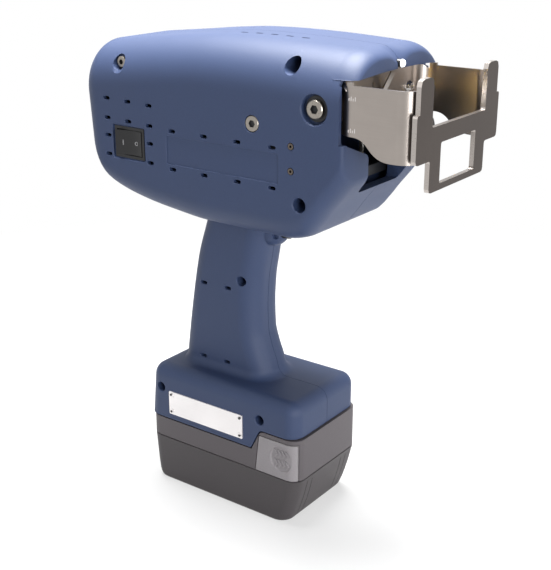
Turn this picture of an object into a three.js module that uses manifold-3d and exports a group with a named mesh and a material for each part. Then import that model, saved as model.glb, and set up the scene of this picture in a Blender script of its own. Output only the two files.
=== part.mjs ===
// Hand-held, battery-powered nameplate marking machine
// Millimetres, +X forwards to the marking end, +Z up, origin in the middle of the pack's flat underside.
import * as THREE from 'three';
import { mergeVertices } from 'three/addons/utils/BufferGeometryUtils.js';
import Module from 'manifold-3d';

const wasm = await Module();
wasm.setup();

// Driving sizes of the head
const noseFace = 106;
const headLength = 211;
const headWidth = 106;
const headBottom = 210;
const headHeight = 123.5;
const headTopRound = 19;
const headLowRound = 17;
const rearRound = 16;
const noseRound = 2.5;
const wall = 3;
const seamGap = 0.3;
const seat = 0.3;
const running = 0.6;
const overrun = 2;
const faceGap = 0.05;
const weldShare = 0.000001;
const headRear = noseFace - headLength;
const headTop = headBottom + headHeight;
const sideY = headWidth / 2;

// Facet counts
const arcSteps = 3;
const outerCornerSteps = 4;
const innerCornerSteps = 2;
const headSteps = 9;
const innerHeadSteps = 5;
const visorSteps = 3;
const gripSteps = 5;
const ventSegments = 1;
const cornerSegments = 2;
const bendSegments = 4;
const smallSides = 8;
const boltSides = 10;
const roundSides = 14;
const drumSides = 20;
const hexSides = 6;
const crownSteps = 6;
const leadSteps = 8;
const leadSegments = 8;
const podSides = 12;
const scoopSides = 12;
const scoopRings = 6;

// Head outline, as shares of its length and height
const headTopShares = [[0, 0.885], [0.14, 0.915], [0.35, 0.955], [0.52, 0.98], [0.75, 1], [0.9, 0.993],
  [1, 0.97]];
const headLowShares = [[0, 0.27], [0.04, 0.185], [0.1, 0.105], [0.2, 0.045], [0.35, 0.008], [0.45, 0],
  [0.78, 0], [0.855, 0.03], [0.89, 0.093], [0.926, 0.18], [0.96, 0.255], [1, 0.36]];
const headSideShares = [[0, 1], [0.93, 1], [1, 0.99]];
const headMiddleShare = 0.58;
const leanRunShare = 0.25;
const rearLean = 0.08;
const frontStepShare = 0.4;

// Visor over the marking end
const visorReach = 5.5;
const visorLipDrop = 21;
const visorLip = headTop - visorLipDrop;
const visorRun = 8;
const visorStart = noseFace - visorRun;
const visorDrop = 13;
const visorCornerRound = 6;
const visorSweepShare = 0.93;
const scoopLength = 15;
const scoopWidth = 15;
const scoopDepth = 8;
const scoopAhead = 12;
const scoopDrop = 5.5;

// Handle and foot
const gripHalfWidth = 18.2;
const gripDepth = 60;
const gripRound = 14;
const gripFlare = 11;
const rearFlareShare = 0.3;
const gripRearShares = [[0, -0.89], [0.24, -0.825], [0.43, -0.767], [0.59, -0.712], [0.72, -0.662],
  [0.93, -0.545], [1.06, -0.47]];
const gripFrontShares = [[0, 0.3], [0.24, 0.242], [0.43, 0.225], [0.59, 0.242], [0.72, 0.283],
  [0.93, 0.36], [1.06, 0.42]];
const footTop = 94;
const footLow = 52;
const footRear = -62.5;
const footFront = 61.5;
const footHalfWidth = 38;
const footRound = 10;
const footEdgeRound = 9;
const footStepX = 26;
const footStepRun = 9.5;
const footStepRise = 15.5;
const footStepTop = footLow + footStepRise;
const gripHeight = headBottom - footTop;

// Places given as shares of the length and height of the moulding that they are on
const headPlace = ([along, up]) => [headRear + headLength * along, headBottom + headHeight * up];
const gripPlace = ([along, up]) => [gripDepth * along, footTop + gripHeight * up];
const footPlace = ([along, up]) => (
  [footRear + (footFront - footRear) * along, footLow + (footTop - footLow) * up]);

// Rails of the foot and tongue of the pack between them
const tongueNeck = 20;
const tongueLip = 4.5;
const tongueHalf = tongueNeck + tongueLip;
const tongueInset = 26.5;
const tongueLength = 76;
const tongueRear = footRear + tongueInset;
const tongueFront = tongueRear + tongueLength;
const tongueLipHeight = 7.2;
const railGap = 0.3;
const railSide = 0.5;
const railRise = 2.5;
const railThick = 4;
const railEndInset = 5.5;
const railFrontInset = 2;
const railLow = footLow + railRise;
const railInner = tongueNeck + railSide;
const railRear = footRear + railEndInset;
const railFront = footStepX - railFrontInset;
const tongueTop = railLow + railThick + railGap + tongueLipHeight;

// Trigger pod under the nose of the handle
const podX = 18.5;
const podRadius = 10.8;
const podDrop = 13;
const podCentreZ = headBottom - podDrop;
const podDomeHeight = 9.5;
const triggerRadius = 5.6;
const triggerDrop = 10;
const triggerZ = headBottom - triggerDrop;
const triggerProud = 5;
const triggerTravel = 3.5;
const triggerLength = 14;
const triggerDome = 1.6;
const triggerSwitchLength = 12;
const triggerSwitchHeight = 14;
const triggerSwitchHalf = 6;
const plungerRadius = 1.3;
const podHoleAhead = 7.5;
const podHoleDrop = 0.5;
const podHoleRadius = 2;
const podHoleDepth = 6.2;

// Case screws: shares of the moulding's length and height, then the seat's share of its half width
const rearTopScrewShares = [0.161, 0.802, 0.68];
const noseTopScrewShares = [0.813, 0.879, 0.565];
const noseLowScrewShares = [0.858, 0.2145, 0.64];
const gripScrewShares = [0.065, 0.595, 0.44];
const footRearScrewShares = [0.0685, 0.56, 0.63];
const footFrontScrewShares = [0.781, 0.548, 0.63];
const headScrewBore = 4.4;
const lowScrewBore = 3.3;
const bossWall = 2;
const screwHeadShare = 0.86;
const screwHeadHeight = 3.2;
const screwShank = 1.8;
const screwBite = 9;
const socketShare = 0.5;

// Clamp screws of the guide, in a pocket on each side of the head
const clampInset = 20;
const clampScrewX = noseFace - clampInset;
const clampHead = 5.6;
const clampPocket = 9;
const clampPocketDepth = 4.5;
const clampFloor = 2;
const clampCupWall = 1.2;
const clampHeadHeight = 3;
const clampShank = 2.9;
const clampWasher = 7.6;
const clampWasherThick = 1;
const clampPad = 5.2;
const clampPadHalfHeight = 8;
const clampFloorOuter = sideY - clampPocketDepth;
const clampFloorInner = clampFloorOuter - clampFloor;

// Cross slide frame inside the head, between the clamp screws
const frameSetback = 16;
const frameLength = 60;
const frameThick = 3;
const frameRise = 35.5;
const frameDrop = 26.5;
const frameSill = 6.5;
const frameLintel = 9;
const frameJamb = 11.6;
const guideRailThick = 3;
const railOuterY = clampFloorInner - seat;
const railInnerY = railOuterY - guideRailThick;
const padOuterY = railInnerY - seat;
const padInnerY = padOuterY - clampPad;
const padLength = 10;
const frameFront = noseFace - frameSetback;
const frameRear = frameFront - frameLength;
const frameHalf = padOuterY - seat;
const frameLow = headBottom + frameRise;
const frameRoof = headTop - frameDrop;
const frameTop = frameRoof - frameThick;
const innerLow = frameLow + frameThick;

// Frame screws, near flush in each side
const frameScrewInset = 65;
const frameScrewDrop = 25.5;
const frameScrewX = noseFace - frameScrewInset;
const frameScrewZ = frameRoof - frameScrewDrop;
const frameScrewHead = 5;
const frameScrewSink = 1.8;
const frameScrewHeight = 1.6;
const frameScrewShank = 2.4;
const lugAhead = 3.4;
const lugHalfHeight = 5.5;
const lugThick = 4.7;
const lugGap = 0.3;

// Lifting bridge with the cross slide's rods, screws and motors
const motorHalf = 14;
const motorRound = 3;
const motorGap = 1;
const yMotorLength = 12.4;
const zMotorHeight = 21;
const slideSetback = 31;
const slideX = frameFront - slideSetback;
const slideRod = 2.5;
const slideRodOffset = 8;
const blockLength = 16;
const blockHalfWidth = 14;
const blockHalfHeight = 12.5;
const blockGap = 0.6;
const leadScrew = 3;
const bridgeHalfHeight = 13;
const bridgeHalfLength = 13;
const bridgeHeadroom = 7.5;
const bridgeBack = 3.5;
const cheekThick = 7;
const cheekOuter = sideY - wall - motorGap - yMotorLength;
const cheekInner = cheekOuter - cheekThick;
const bridgeRear = slideX - bridgeHalfLength;
const postAhead = 7;
const postX = slideX + postAhead;
const postY = (cheekInner + cheekOuter) / 2;
const postRadius = 2.2;
const liftNutHalf = 6;
const liftX = bridgeRear - liftNutHalf;
const screwNeck = 2;

// Marking unit
const unitY = blockHalfWidth + blockGap - cheekInner;
const unitZ = frameTop - bridgeHalfHeight - bridgeHeadroom;
const unitStandoff = 1;
const unitRear = noseFace + unitStandoff;
const unitFlange = 1.5;
const unitFlangeRadius = 12;
const coilRadius = 17.5;
const coilLength = 16.4;
const endPlateRadius = 18.3;
const endPlateWidth = 2.2;
const noseRadius = 13;
const noseLength = 10;
const noseTipRadius = 9;
const noseTaper = 4;
const neckRadius = 6.5;
const stylusRadius = 1.5;
const stylusProud = 5.2;
const stylusTail = 20;
const stylusPoint = 2.4;
const stylusTipRadius = 0.3;
const armatureRadius = 3.6;
const armatureLength = 9;
const armatureBore = 4.2;

// Marking opening in the nose
const slotSide = 2.5;
const slotDrop = 4;
const slotHalf = neckRadius + slotSide - unitY;
const slotLow = frameLow - slotDrop;
const slotRound = 4;
const throatFloorShare = 0.514;
const throatShoulderShare = 0.655;
const throatLow = visorLip - (visorLip - slotLow) * throatFloorShare;
const throatShoulder = visorLip - (visorLip - slotLow) * throatShoulderShare;
const throatShoulderInset = 12;
const throatShoulderSide = sideY - throatShoulderInset;
const throatShoulderDrop = 3.5;
const throatRound = 3.5;
const throatWall = 2;
const throatDepth = 15;

// Stand-off guide and its contact plate
const guideReach = 46;
const guideFace = noseFace + guideReach;
const contactThick = 3;
const sheet = 1.5;
const armGap = 0.4;
const armOuter = sideY - wall - armGap;
const guideSink = 7;
const guideWallX = noseFace - guideSink;
const guideBend = 12.5;
const armFrontBend = 6;
const armTopGap = 2;
const armHeelGap = 5.5;
const armToeDrop = 12;
const armHeelRun = 14;
const armToeRun = 31;
const armTop = visorLip - armTopGap;
const armHeelLow = throatLow + armHeelGap;
const armLow = armHeelLow - armToeDrop;
const armToeRound = 9;
const armHeelRound = 6;
const wallTopGap = 4.5;
const wallTop = visorLip - wallTopGap;
const wallCrown = 4;
const wallCrownSide = 9.6;
const wallEar = 19.6;
const windowHalf = armOuter - wallEar;
const windowDrop = 15;
const frontFlange = 10.6;
const contactLip = 0.9;
const contactOuter = armOuter + contactLip;
const contactRise = 7;
const contactHeight = 66;
const contactPostShares = [0.653, 0.94];
const contactNotchShare = 0.573;
const contactShoulderShare = 0.709;
const contactWingShare = 0.288;
const contactFootShare = 0.673;
const contactWindowHalfShare = 0.426;
const contactWindowShares = [0.0576, 0.421];
const contactPostRound = 4;
const contactCornerRound = 2.5;
const contactInnerRound = 1.5;
const clampDrop = 1;
const clampScrewZ = (armTop + armHeelLow) / 2 - clampDrop;
const guideRailHalfHeight = 7;
const guideRailTail = 8;
const guideTravel = 4;
const guideFlangeSetback = 0.5;
const guideFlangeInner = windowHalf + guideFlangeSetback;
const guideFlangeThick = 2.4;
const wallSlotSide = 9.5;
const wallSlotWide = 1;
const wallSlotTopGap = 1.6;
const wallSlotHeight = 4.6;
const guideScrewInset = 2.9;
const guideScrewRise = 3.5;
const guideScrewY = guideFlangeInner + guideScrewInset;
const guideScrewZ = clampScrewZ + guideScrewRise;
const guideScrewHead = 3.6;
const guideScrewHeight = 2.4;
const guideScrewShank = 2;
const guideScrewCrown = 2.6;
const guideScrewEnd = 0.6;

// Work light on its bent strip under the hood
const lampDrop = 16;
const lampZ = headTop - lampDrop;
const lampProud = 3;
const lampRadius = 2.5;
const lampStripHalf = 2.8;
const lampStripThick = 1;
const lampStripDrop = 12;
const lampKneeDrop = 0.6;
const lampFootGap = 1.3;
const lampSlotSide = 0.7;
const lampSlotGap = 0.4;
const lampStripLow = visorLip - lampStripDrop;
const lampStripKnee = visorLip - lampKneeDrop;
const lampStripTop = lampZ + lampRadius;
const lampStripFoot = guideWallX + lampFootGap;
const lampSlotHalf = lampStripHalf + lampSlotSide;

// Threaded inserts ahead of the name recess
const insertInset = 36;
const insertX = noseFace - insertInset;
const insertLevelShares = [0.3765, 0.498];
const insertRadius = 2;
const insertLength = 3.9;
const insertProud = 0.2;
const insertHole = 0.9;

// Vents and name recess, as shares of the head's or handle's length and height
const ventLength = 5.6;
const ventHeight = 2.3;
const ventColumnShares = [0.118, 0.207, 0.295];
const ventRowShares = [0.604, 0.498, 0.403, 0.3];
const ventRowDropShare = 0.0055;
const fullVentRows = 2;
const stripVentShares = [0.387, 0.511, 0.637, 0.763];
const stripVentLevelShares = [0.4777, 0.2761];
const gripVentShares = [[-0.483, 0.537], [-0.127, 0.539], [-0.513, 0.0586], [-0.16, 0.062]];
const topVentShares = [0.531, 0.587, 0.642, 0.697, 0.753];
const topVentY = 15;
const topVentDepth = 7;
const nameRecessShares = [[0.365, 0.3036], [0.784, 0.4494]];
const nameRecessDepth = 0.6;

// Rocker switch
const rockerInset = 43.5;
const rockerX = headRear + rockerInset;
const rockerLevelShare = 0.3765;
const rockerZ = headBottom + headHeight * rockerLevelShare;
const rockerRecessLength = 28.5;
const rockerRecessHeight = 22.5;
const rockerRecessDepth = 1.5;
const rockerRecessRound = 1.5;
const rockerFlange = 0.5;
const rockerFlangeWide = 1.1;
const rockerBodyLength = 23.8;
const rockerBodyHeight = 18.8;
const rockerBodyDepth = 15;
const rockerRim = 0.8;
const rockerSideGap = 1.1;
const rockerEndGap = 0.4;
const rockerRise = 5.2;
const rockerDish = 1.9;
const rockerPivotDepth = 3.5;
const rockerHeel = 4.6;
const rockerHeelHalf = 3;
const rockerTilt = 8;
const rockerPin = 1.2;
const rockerPinProud = 0.9;
const dishSteps = 6;
const rockerSeatY = sideY - rockerRecessDepth;

// Riveted plate on the foot, as shares of the foot's length and height
const plateShares = [[0.125, 0.1095], [0.6655, 0.5333]];
const plateThick = 0.8;
const rivetRadius = 1.3;
const rivetInset = 3;
const rivetHeight = 0.5;

// Battery pack
const packOverhang = 1.5;
const packRear = footRear;
const packFront = footFront + packOverhang;
const packHalfWidth = footHalfWidth;
const packSeam = 35.5;
const packRound = 11;
const packBellyShares = [[0, 0.088, 0.8], [0.04, 0.062, 0.87], [0.16, 0.044, 0.92], [0.6, 0.016, 0.975],
  [1, 0, 1]];
const packSeamGap = 0.4;
const packTopGap = 0.4;
const packRoofRear = footLow - packTopGap;
const packRoofFront = footStepTop - packTopGap;
const latchFrontInset = 4.5;
const latchLength = 26.5;
const latchFront = packFront - latchFrontInset;
const latchRear = latchFront - latchLength;
const latchLowGap = 0.6;
const latchTopGap = 3.9;
const latchLow = packSeam + latchLowGap;
const latchTop = packRoofFront - latchTopGap;
const latchThick = 7;
const latchTravel = 3;
const latchGap = 0.5;
const latchPadBack = 12.5;
const latchPadRise = 13.9;
const latchPadX = latchFront - latchPadBack;
const latchPadZ = latchLow + latchPadRise;
const latchPadRadius = 9;
const latchPadDish = 0.9;
const latchRibs = 4;
const latchRibWidth = 1.6;
const latchRibPitch = 3.6;
const latchPocketGap = 0.5;
const packWall = 2;
const collarShift = 0.6;
const collarHollowHalf = 24;
const cellRadius = 9.1;
const cellEndGap = 3.5;
const cellHalfLength = packHalfWidth - packWall - cellEndGap;
const cellCount = 7;
const cellPitch = 15.5;
const cellGap = 0.14;
const cellBed = 3.3;
const cellRise = Math.sqrt((2 * cellRadius + cellGap) ** 2 - cellPitch ** 2);
const cellLow = packWall + cellBed + cellRadius;
const saddleY = 14;
const saddleHalf = 1;
const saddleTop = 12;
const cellButton = 1.4;

// Terminal block in the foot
const terminalLength = 9;
const terminalHalf = 17;
const terminalRise = 8.5;
const terminalHeight = 19.5;
const terminalLow = footLow + terminalRise;
const terminalTop = terminalLow + terminalHeight;
const terminalBarLength = 4;
const terminalBarHeight = 4;
const bladeLength = 10;
const bladeThick = 0.9;
const bladeHeight = 3.4;
const bladePitch = 9;
const bladeCount = 4;
const bladeSlotGap = 0.5;
const bladeRise = 1;
const bladeZ = terminalLow + bladeRise;
const terminalGap = 1.2;
const terminalWing = 5;
const terminalWingRise = 11.2;
const terminalWingLow = terminalLow + terminalWingRise;
const terminalShelfThick = 4;
const terminalShelfLip = 1.2;

// Control panel and boards
const headMiddle = headBottom + headHeight * headMiddleShare;
const panelSide = 8;
const panelHalfWidth = sideY - rearRound - panelSide;
const panelHalfHeight = 15.5;
const panelCentreZ = headMiddle;
const panelRound = 5;
const panelBorder = 2.4;
const panelFlange = 2.2;
const panelFlangeThick = 1.4;
const displayHeight = 10.6;
const displayThick = 1.2;
const keypadHeight = 13;
const keypadThick = 0.8;
const keyRows = 2;
const keyColumns = 6;
const keyGapY = 2;
const keyHeight = 4.2;
const keyPitchZ = 6.4;
const keyProud = 0.5;
const keyMarginShare = 0.333;
const boardInset = 23;
const boardY = sideY - boardInset;
const boardThick = 1.6;
const boardRearInset = 25;
const boardFrontGap = 16;
const boardRise = 26;
const boardDrop = 37.5;
const boardRear = headRear + boardRearInset;
const boardFront = frameRear - boardFrontGap;
const boardLow = headBottom + boardRise;
const boardTop = headTop - boardDrop;
const boardPostInset = 6;
const boardPostRadius = 3.2;
const boardPin = 1.5;
const chipShares = [[0.149, 0.767, 0.096, 0.1], [0.447, 0.433, 0.128, 0.2], [0.766, 0.233, 0.0745, 0.15],
  [0.766, 0.7, 0.106, 0.067]];
const chipHeight = 4;
const leadRadius = 2.6;
const leadPath = [[-41.7, 80.6], [-41, 96], [-36, 130], [-28, 170], [-24, 205], [-26, 234]];

// Colours
const paint = {
  shell: new THREE.MeshStandardMaterial({ color: 0x3d4a66, roughness: 0.62, metalness: 0 }),
  pack: new THREE.MeshStandardMaterial({ color: 0x4a4648, roughness: 0.6, metalness: 0 }),
  collar: new THREE.MeshStandardMaterial({ color: 0x5c575d, roughness: 0.6, metalness: 0 }),
  latch: new THREE.MeshStandardMaterial({ color: 0x948e93, roughness: 0.55, metalness: 0 }),
  black: new THREE.MeshStandardMaterial({ color: 0x141416, roughness: 0.5, metalness: 0 }),
  sheet: new THREE.MeshStandardMaterial({ color: 0xb3aca6, roughness: 0.32, metalness: 1 }),
  ground: new THREE.MeshStandardMaterial({ color: 0x8a827c, roughness: 0.38, metalness: 1 }),
  bright: new THREE.MeshStandardMaterial({ color: 0xcfccc8, roughness: 0.18, metalness: 1 }),
  brass: new THREE.MeshStandardMaterial({ color: 0xc09a4a, roughness: 0.25, metalness: 1 }),
  plate: new THREE.MeshStandardMaterial({ color: 0xd8d4d4, roughness: 0.4, metalness: 0.4 }),
  board: new THREE.MeshStandardMaterial({ color: 0x24513a, roughness: 0.55, metalness: 0 }),
  lens: new THREE.MeshStandardMaterial({ color: 0xf4f8ff, roughness: 0.15, metalness: 0 }),
  glass: new THREE.MeshStandardMaterial({ color: 0x39443a, roughness: 0.15, metalness: 0 }),
};

// A closed geometry as a solid that can be cut and joined
function solid(geometry) {
  const bare = geometry.clone();
  bare.deleteAttribute('normal');
  bare.deleteAttribute('uv');
  const merged = mergeVertices(bare, weldShare * headWidth);
  const kept = [];
  for (let i = 0; i < merged.index.count; i += 3) {
    const [a, b, c] = [merged.index.getX(i), merged.index.getX(i + 1), merged.index.getX(i + 2)];
    if (a !== b && b !== c && c !== a) kept.push(a, b, c);
  }
  return new wasm.Manifold(new wasm.Mesh({
    numProp: 3,
    vertProperties: new Float32Array(merged.attributes.position.array),
    triVerts: new Uint32Array(kept),
  }));
}

// A solid back as a geometry with flat facets
function geometryOf(body) {
  const mesh = body.getMesh();
  const geometry = new THREE.BufferGeometry();
  geometry.setAttribute('position', new THREE.BufferAttribute(mesh.vertProperties, 3));
  geometry.setIndex(new THREE.BufferAttribute(mesh.triVerts, 1));
  geometry.computeVertexNormals();
  return geometry;
}

// Basic bodies
function box(x0, x1, y0, y1, z0, z1) {
  const geometry = new THREE.BoxGeometry(x1 - x0, y1 - y0, z1 - z0);
  geometry.translate((x0 + x1) / 2, (y0 + y1) / 2, (z0 + z1) / 2);
  return solid(geometry);
}

const alongX = new THREE.Matrix4().makeBasis(
  new THREE.Vector3(0, 1, 0), new THREE.Vector3(0, 0, 1), new THREE.Vector3(1, 0, 0));
const alongY = new THREE.Matrix4().makeRotationX(Math.PI / 2);

// A corner list [u, v, radius] as a shape with rounded corners
function outline(corners) {
  const shape = new THREE.Shape();
  const count = corners.length;
  corners.forEach(([u, v, radius = 0], i) => {
    const here = new THREE.Vector2(u, v);
    const before = new THREE.Vector2(...corners[(i + count - 1) % count].slice(0, 2));
    const after = new THREE.Vector2(...corners[(i + 1) % count].slice(0, 2));
    const start = here.clone().add(before.sub(here).setLength(radius));
    const end = here.clone().add(after.sub(here).setLength(radius));
    if (i === 0) shape.moveTo(start.x, start.y);
    else shape.lineTo(start.x, start.y);
    if (radius > 0) shape.quadraticCurveTo(here.x, here.y, end.x, end.y);
  });
  shape.closePath();
  return shape;
}

function extruded(shape, depth, segments) {
  return new THREE.ExtrudeGeometry(shape, { depth, bevelEnabled: false, curveSegments: segments, steps: 1 });
}

// Prisms of a shape in the YZ, XZ or XY plane
function prismX(shape, x0, x1, segments = cornerSegments) {
  return solid(extruded(shape, x1 - x0, segments).applyMatrix4(alongX).translate(x0, 0, 0));
}

function prismY(shape, y0, y1, segments = cornerSegments) {
  return solid(extruded(shape, y1 - y0, segments).applyMatrix4(alongY).translate(0, y1, 0));
}

function prismZ(shape, z0, z1, segments = cornerSegments) {
  return solid(extruded(shape, z1 - z0, segments).translate(0, 0, z0));
}

// A turned body on an axis along X, from rows [x, radius] in rising x
function turnedX(profile, y, z, sides) {
  const ends = [profile[0], profile[profile.length - 1]].map(([x]) => [x, 0]);
  const points = [ends[0], ...profile, ends[1]].map(([x, radius]) => new THREE.Vector2(radius, x));
  const geometry = new THREE.LatheGeometry(points, sides);
  geometry.rotateZ(-Math.PI / 2);
  geometry.translate(0, y, z);
  return solid(geometry);
}

// Round bars along each axis
function barX(radius, x0, x1, y, z, sides) {
  return turnedX([[x0, radius], [x1, radius]], y, z, sides);
}

function barY(radius, y0, y1, x, z, sides) {
  const geometry = new THREE.CylinderGeometry(radius, radius, y1 - y0, sides);
  geometry.translate(x, (y0 + y1) / 2, z);
  return solid(geometry);
}

function barZ(radius, z0, z1, x, y, sides) {
  const geometry = new THREE.CylinderGeometry(radius, radius, z1 - z0, sides);
  geometry.rotateX(Math.PI / 2);
  geometry.translate(x, y, (z0 + z1) / 2);
  return solid(geometry);
}

function joined(bodies) {
  return bodies.reduce((sum, body) => sum.add(body));
}

function without(body, cutters) {
  return cutters.reduce((rest, cutter) => rest.subtract(cutter), body);
}

// A solid carried by a matrix; a mirroring one also turns the faces round
function moved(body, matrix) {
  const mesh = body.getMesh();
  const place = new THREE.BufferAttribute(new Float32Array(mesh.vertProperties), 3).applyMatrix4(matrix);
  const triVerts = new Uint32Array(mesh.triVerts);
  if (matrix.determinant() < 0) {
    for (let i = 0; i < triVerts.length; i += 3) {
      [triVerts[i], triVerts[i + 1]] = [triVerts[i + 1], triVerts[i]];
    }
  }
  return new wasm.Manifold(new wasm.Mesh({ numProp: 3, vertProperties: place.array, triVerts }));
}

function mirrored(body) {
  return moved(body, new THREE.Matrix4().makeScale(1, -1, 1));
}

// A smooth value between the rows of a table that never overshoots them
function smooth(rows, s, column = 1) {
  const last = rows.length - 1;
  const slopeOf = (i) => (rows[i + 1][column] - rows[i][column]) / (rows[i + 1][0] - rows[i][0]);
  const tangentAt = (i) => {
    if (i === 0) return slopeOf(0);
    if (i === last) return slopeOf(last - 1);
    const [a, b] = [slopeOf(i - 1), slopeOf(i)];
    return a * b <= 0 ? 0 : (2 * a * b) / (a + b);
  };
  const next = Math.max(1, Math.min(last, rows.findIndex((row) => row[0] >= s)));
  const i = s > rows[last][0] ? last - 1 : next - 1;
  const run = rows[i + 1][0] - rows[i][0];
  const t = Math.min(1, Math.max(0, (s - rows[i][0]) / run));
  const [p, q] = [rows[i][column], rows[i + 1][column]];
  const [m, n] = [tangentAt(i) * run, tangentAt(i + 1) * run];
  return p + t * (m + t * (3 * (q - p) - 2 * m - n + t * (2 * (p - q) + m + n)));
}

// A ring of points round a rectangle with rounded corners, anticlockwise from the corner at u1, v1
function ring(u0, u1, v0, v1, radii, steps, place) {
  const corners = [[u1, v1, radii[0], 0], [u0, v1, radii[1], 1], [u0, v0, radii[2], 2], [u1, v0, radii[3], 3]];
  return corners.flatMap(([u, v, radius, quarter]) => {
    const [sideU, sideV] = [u === u1 ? 1 : -1, v === v1 ? 1 : -1];
    return Array.from({ length: steps + 1 }, (_, k) => {
      const angle = (quarter + k / steps) * Math.PI / 2;
      const [a, b] = [radius * Math.cos(angle), radius * Math.sin(angle)];
      return place(u - sideU * radius + a, v - sideV * radius + b);
    });
  });
}

// A closed body through a row of rings with equal counts
function loft(rings) {
  const count = rings[0].length;
  const points = rings.flat();
  const index = [];
  for (let k = 0; k < rings.length - 1; k += 1) {
    for (let i = 0; i < count; i += 1) {
      const j = (i + 1) % count;
      const [a, b, c, d] = [k * count + i, k * count + j, (k + 1) * count + j, (k + 1) * count + i];
      index.push(a, b, c, a, c, d);
    }
  }
  [rings[0], rings[rings.length - 1]].forEach((end, side) => {
    const middle = end.reduce((sum, p) => sum.add(p), new THREE.Vector3()).divideScalar(count);
    const hub = points.push(middle) - 1;
    const first = side === 0 ? 0 : (rings.length - 1) * count;
    for (let i = 0; i < count; i += 1) {
      const j = (i + 1) % count;
      if (side === 0) index.push(hub, first + j, first + i);
      else index.push(hub, first + i, first + j);
    }
  });
  const geometry = new THREE.BufferGeometry().setFromPoints(points);
  geometry.setIndex(index);
  return solid(geometry);
}

// How far a quarter round of this radius draws the section in, at a distance from its end
function roundIn(distance, radius) {
  if (distance >= radius) return 0;
  return radius - Math.sqrt(radius * radius - (radius - distance) ** 2);
}

// Head outline
const headTopAt = (x) => headBottom + headHeight * smooth(headTopShares, (x - headRear) / headLength);
const headLowAt = (x) => headBottom + headHeight * smooth(headLowShares, (x - headRear) / headLength);
const headSideAt = (x) => (headWidth / 2) * smooth(headSideShares, (x - headRear) / headLength);
const leanAt = (x, z) => {
  const rearward = Math.max(0, Math.min(1, 1 - (x - headRear) / (headLength * leanRunShare)));
  return -rearLean * (z - headMiddle) * rearward;
};

function headForm(inset, cornerSteps, midSteps) {
  const rear = headRear + inset;
  const front = noseFace - inset;
  const round = rearRound - inset;
  const stations = [];
  for (let k = 0; k < arcSteps; k += 1) {
    const angle = (k / arcSteps) * Math.PI / 2;
    stations.push([rear + round * (1 - Math.cos(angle)), round * (1 - Math.sin(angle))]);
  }
  for (let k = 0; k <= midSteps; k += 1) {
    const x = rear + round + (front - noseRound - rear - round) * (k / midSteps);
    stations.push([x, 0]);
  }
  stations.push([front - noseRound * frontStepShare, roundIn(noseRound * frontStepShare, noseRound)]);
  stations.push([front, noseRound]);
  const rings = stations.map(([x, shrink]) => {
    const trim = inset + shrink;
    const side = headSideAt(x) - trim;
    const [low, high] = [headLowAt(x) + trim, headTopAt(x) - trim];
    const [topRadius, lowRadius] = [headTopRound - inset, headLowRound - inset];
    const radii = [topRadius, topRadius, lowRadius, lowRadius];
    return ring(-side, side, low, high, radii, cornerSteps,
      (y, z) => new THREE.Vector3(x + leanAt(x, z), y, z));
  });
  return loft(rings);
}

function visorForm(inset, low, cornerSteps) {
  const reach = noseFace + visorReach - inset;
  const start = visorStart - inset;
  const rings = [];
  for (let k = 0; k <= visorSteps; k += 1) {
    const angle = (k / visorSteps) * visorSweepShare * Math.PI / 2;
    const x = start + (reach - start) * Math.sin(angle);
    const drop = visorDrop * (1 - Math.cos(angle));
    const side = headSideAt(start) - inset - visorCornerRound * (1 - Math.cos(angle));
    const high = headTopAt(start) - inset - drop;
    const radius = Math.min(headTopRound - inset, high - low - seat);
    rings.push(ring(-side, side, low, high, [radius, radius, 0, 0], cornerSteps,
      (y, z) => new THREE.Vector3(x, y, z)));
  }
  return loft(rings);
}

function scoop(grow) {
  const geometry = new THREE.SphereGeometry(1, scoopSides, scoopRings);
  geometry.scale(scoopLength + grow, scoopWidth + grow, scoopDepth + grow);
  geometry.translate(noseFace + scoopAhead, 0, headTop - scoopDrop);
  return solid(geometry);
}

// Handle and foot outlines
const gripRearAt = (z) => gripDepth * smooth(gripRearShares, (z - footTop) / gripHeight);
const gripFrontAt = (z) => gripDepth * smooth(gripFrontShares, (z - footTop) / gripHeight);

function gripForm(inset, cornerSteps) {
  const low = footTop - gripFlare;
  const high = headBottom + gripFlare;
  const heights = [low];
  for (let k = 0; k < arcSteps; k += 1) {
    heights.push(footTop + gripFlare * (1 - Math.cos((k / arcSteps) * Math.PI / 2)));
  }
  for (let k = 0; k <= gripSteps; k += 1) {
    heights.push(footTop + gripFlare + (high - footTop - gripFlare) * (k / gripSteps));
  }
  const rings = heights.map((z) => {
    const flare = roundIn(Math.max(0, z - footTop), gripFlare);
    const half = gripHalfWidth + flare - inset;
    const rear = gripRearAt(z) - flare * rearFlareShare + inset;
    const front = gripFrontAt(z) + flare - inset;
    const radius = gripRound + flare - inset;
    return ring(rear, front, -half, half, [radius, radius, radius, radius], cornerSteps,
      (x, y) => new THREE.Vector3(x, y, z));
  });
  return loft(rings);
}

function footForm(inset, low, cornerSteps) {
  const rings = [];
  const round = footRound - inset;
  const stations = [[low, 0]];
  for (let k = 0; k <= arcSteps; k += 1) {
    const angle = (k / arcSteps) * Math.PI / 2;
    stations.push([footTop - inset - round * (1 - Math.sin(angle)), round * (1 - Math.cos(angle))]);
  }
  stations.forEach(([z, shrink]) => {
    const trim = inset + shrink;
    const radius = footEdgeRound + footRound - trim;
    rings.push(ring(footRear + trim, footFront - trim, trim - footHalfWidth, footHalfWidth - trim,
      [radius, radius, radius, radius], cornerSteps, (x, y) => new THREE.Vector3(x, y, z)));
  });
  return loft(rings);
}

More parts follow.
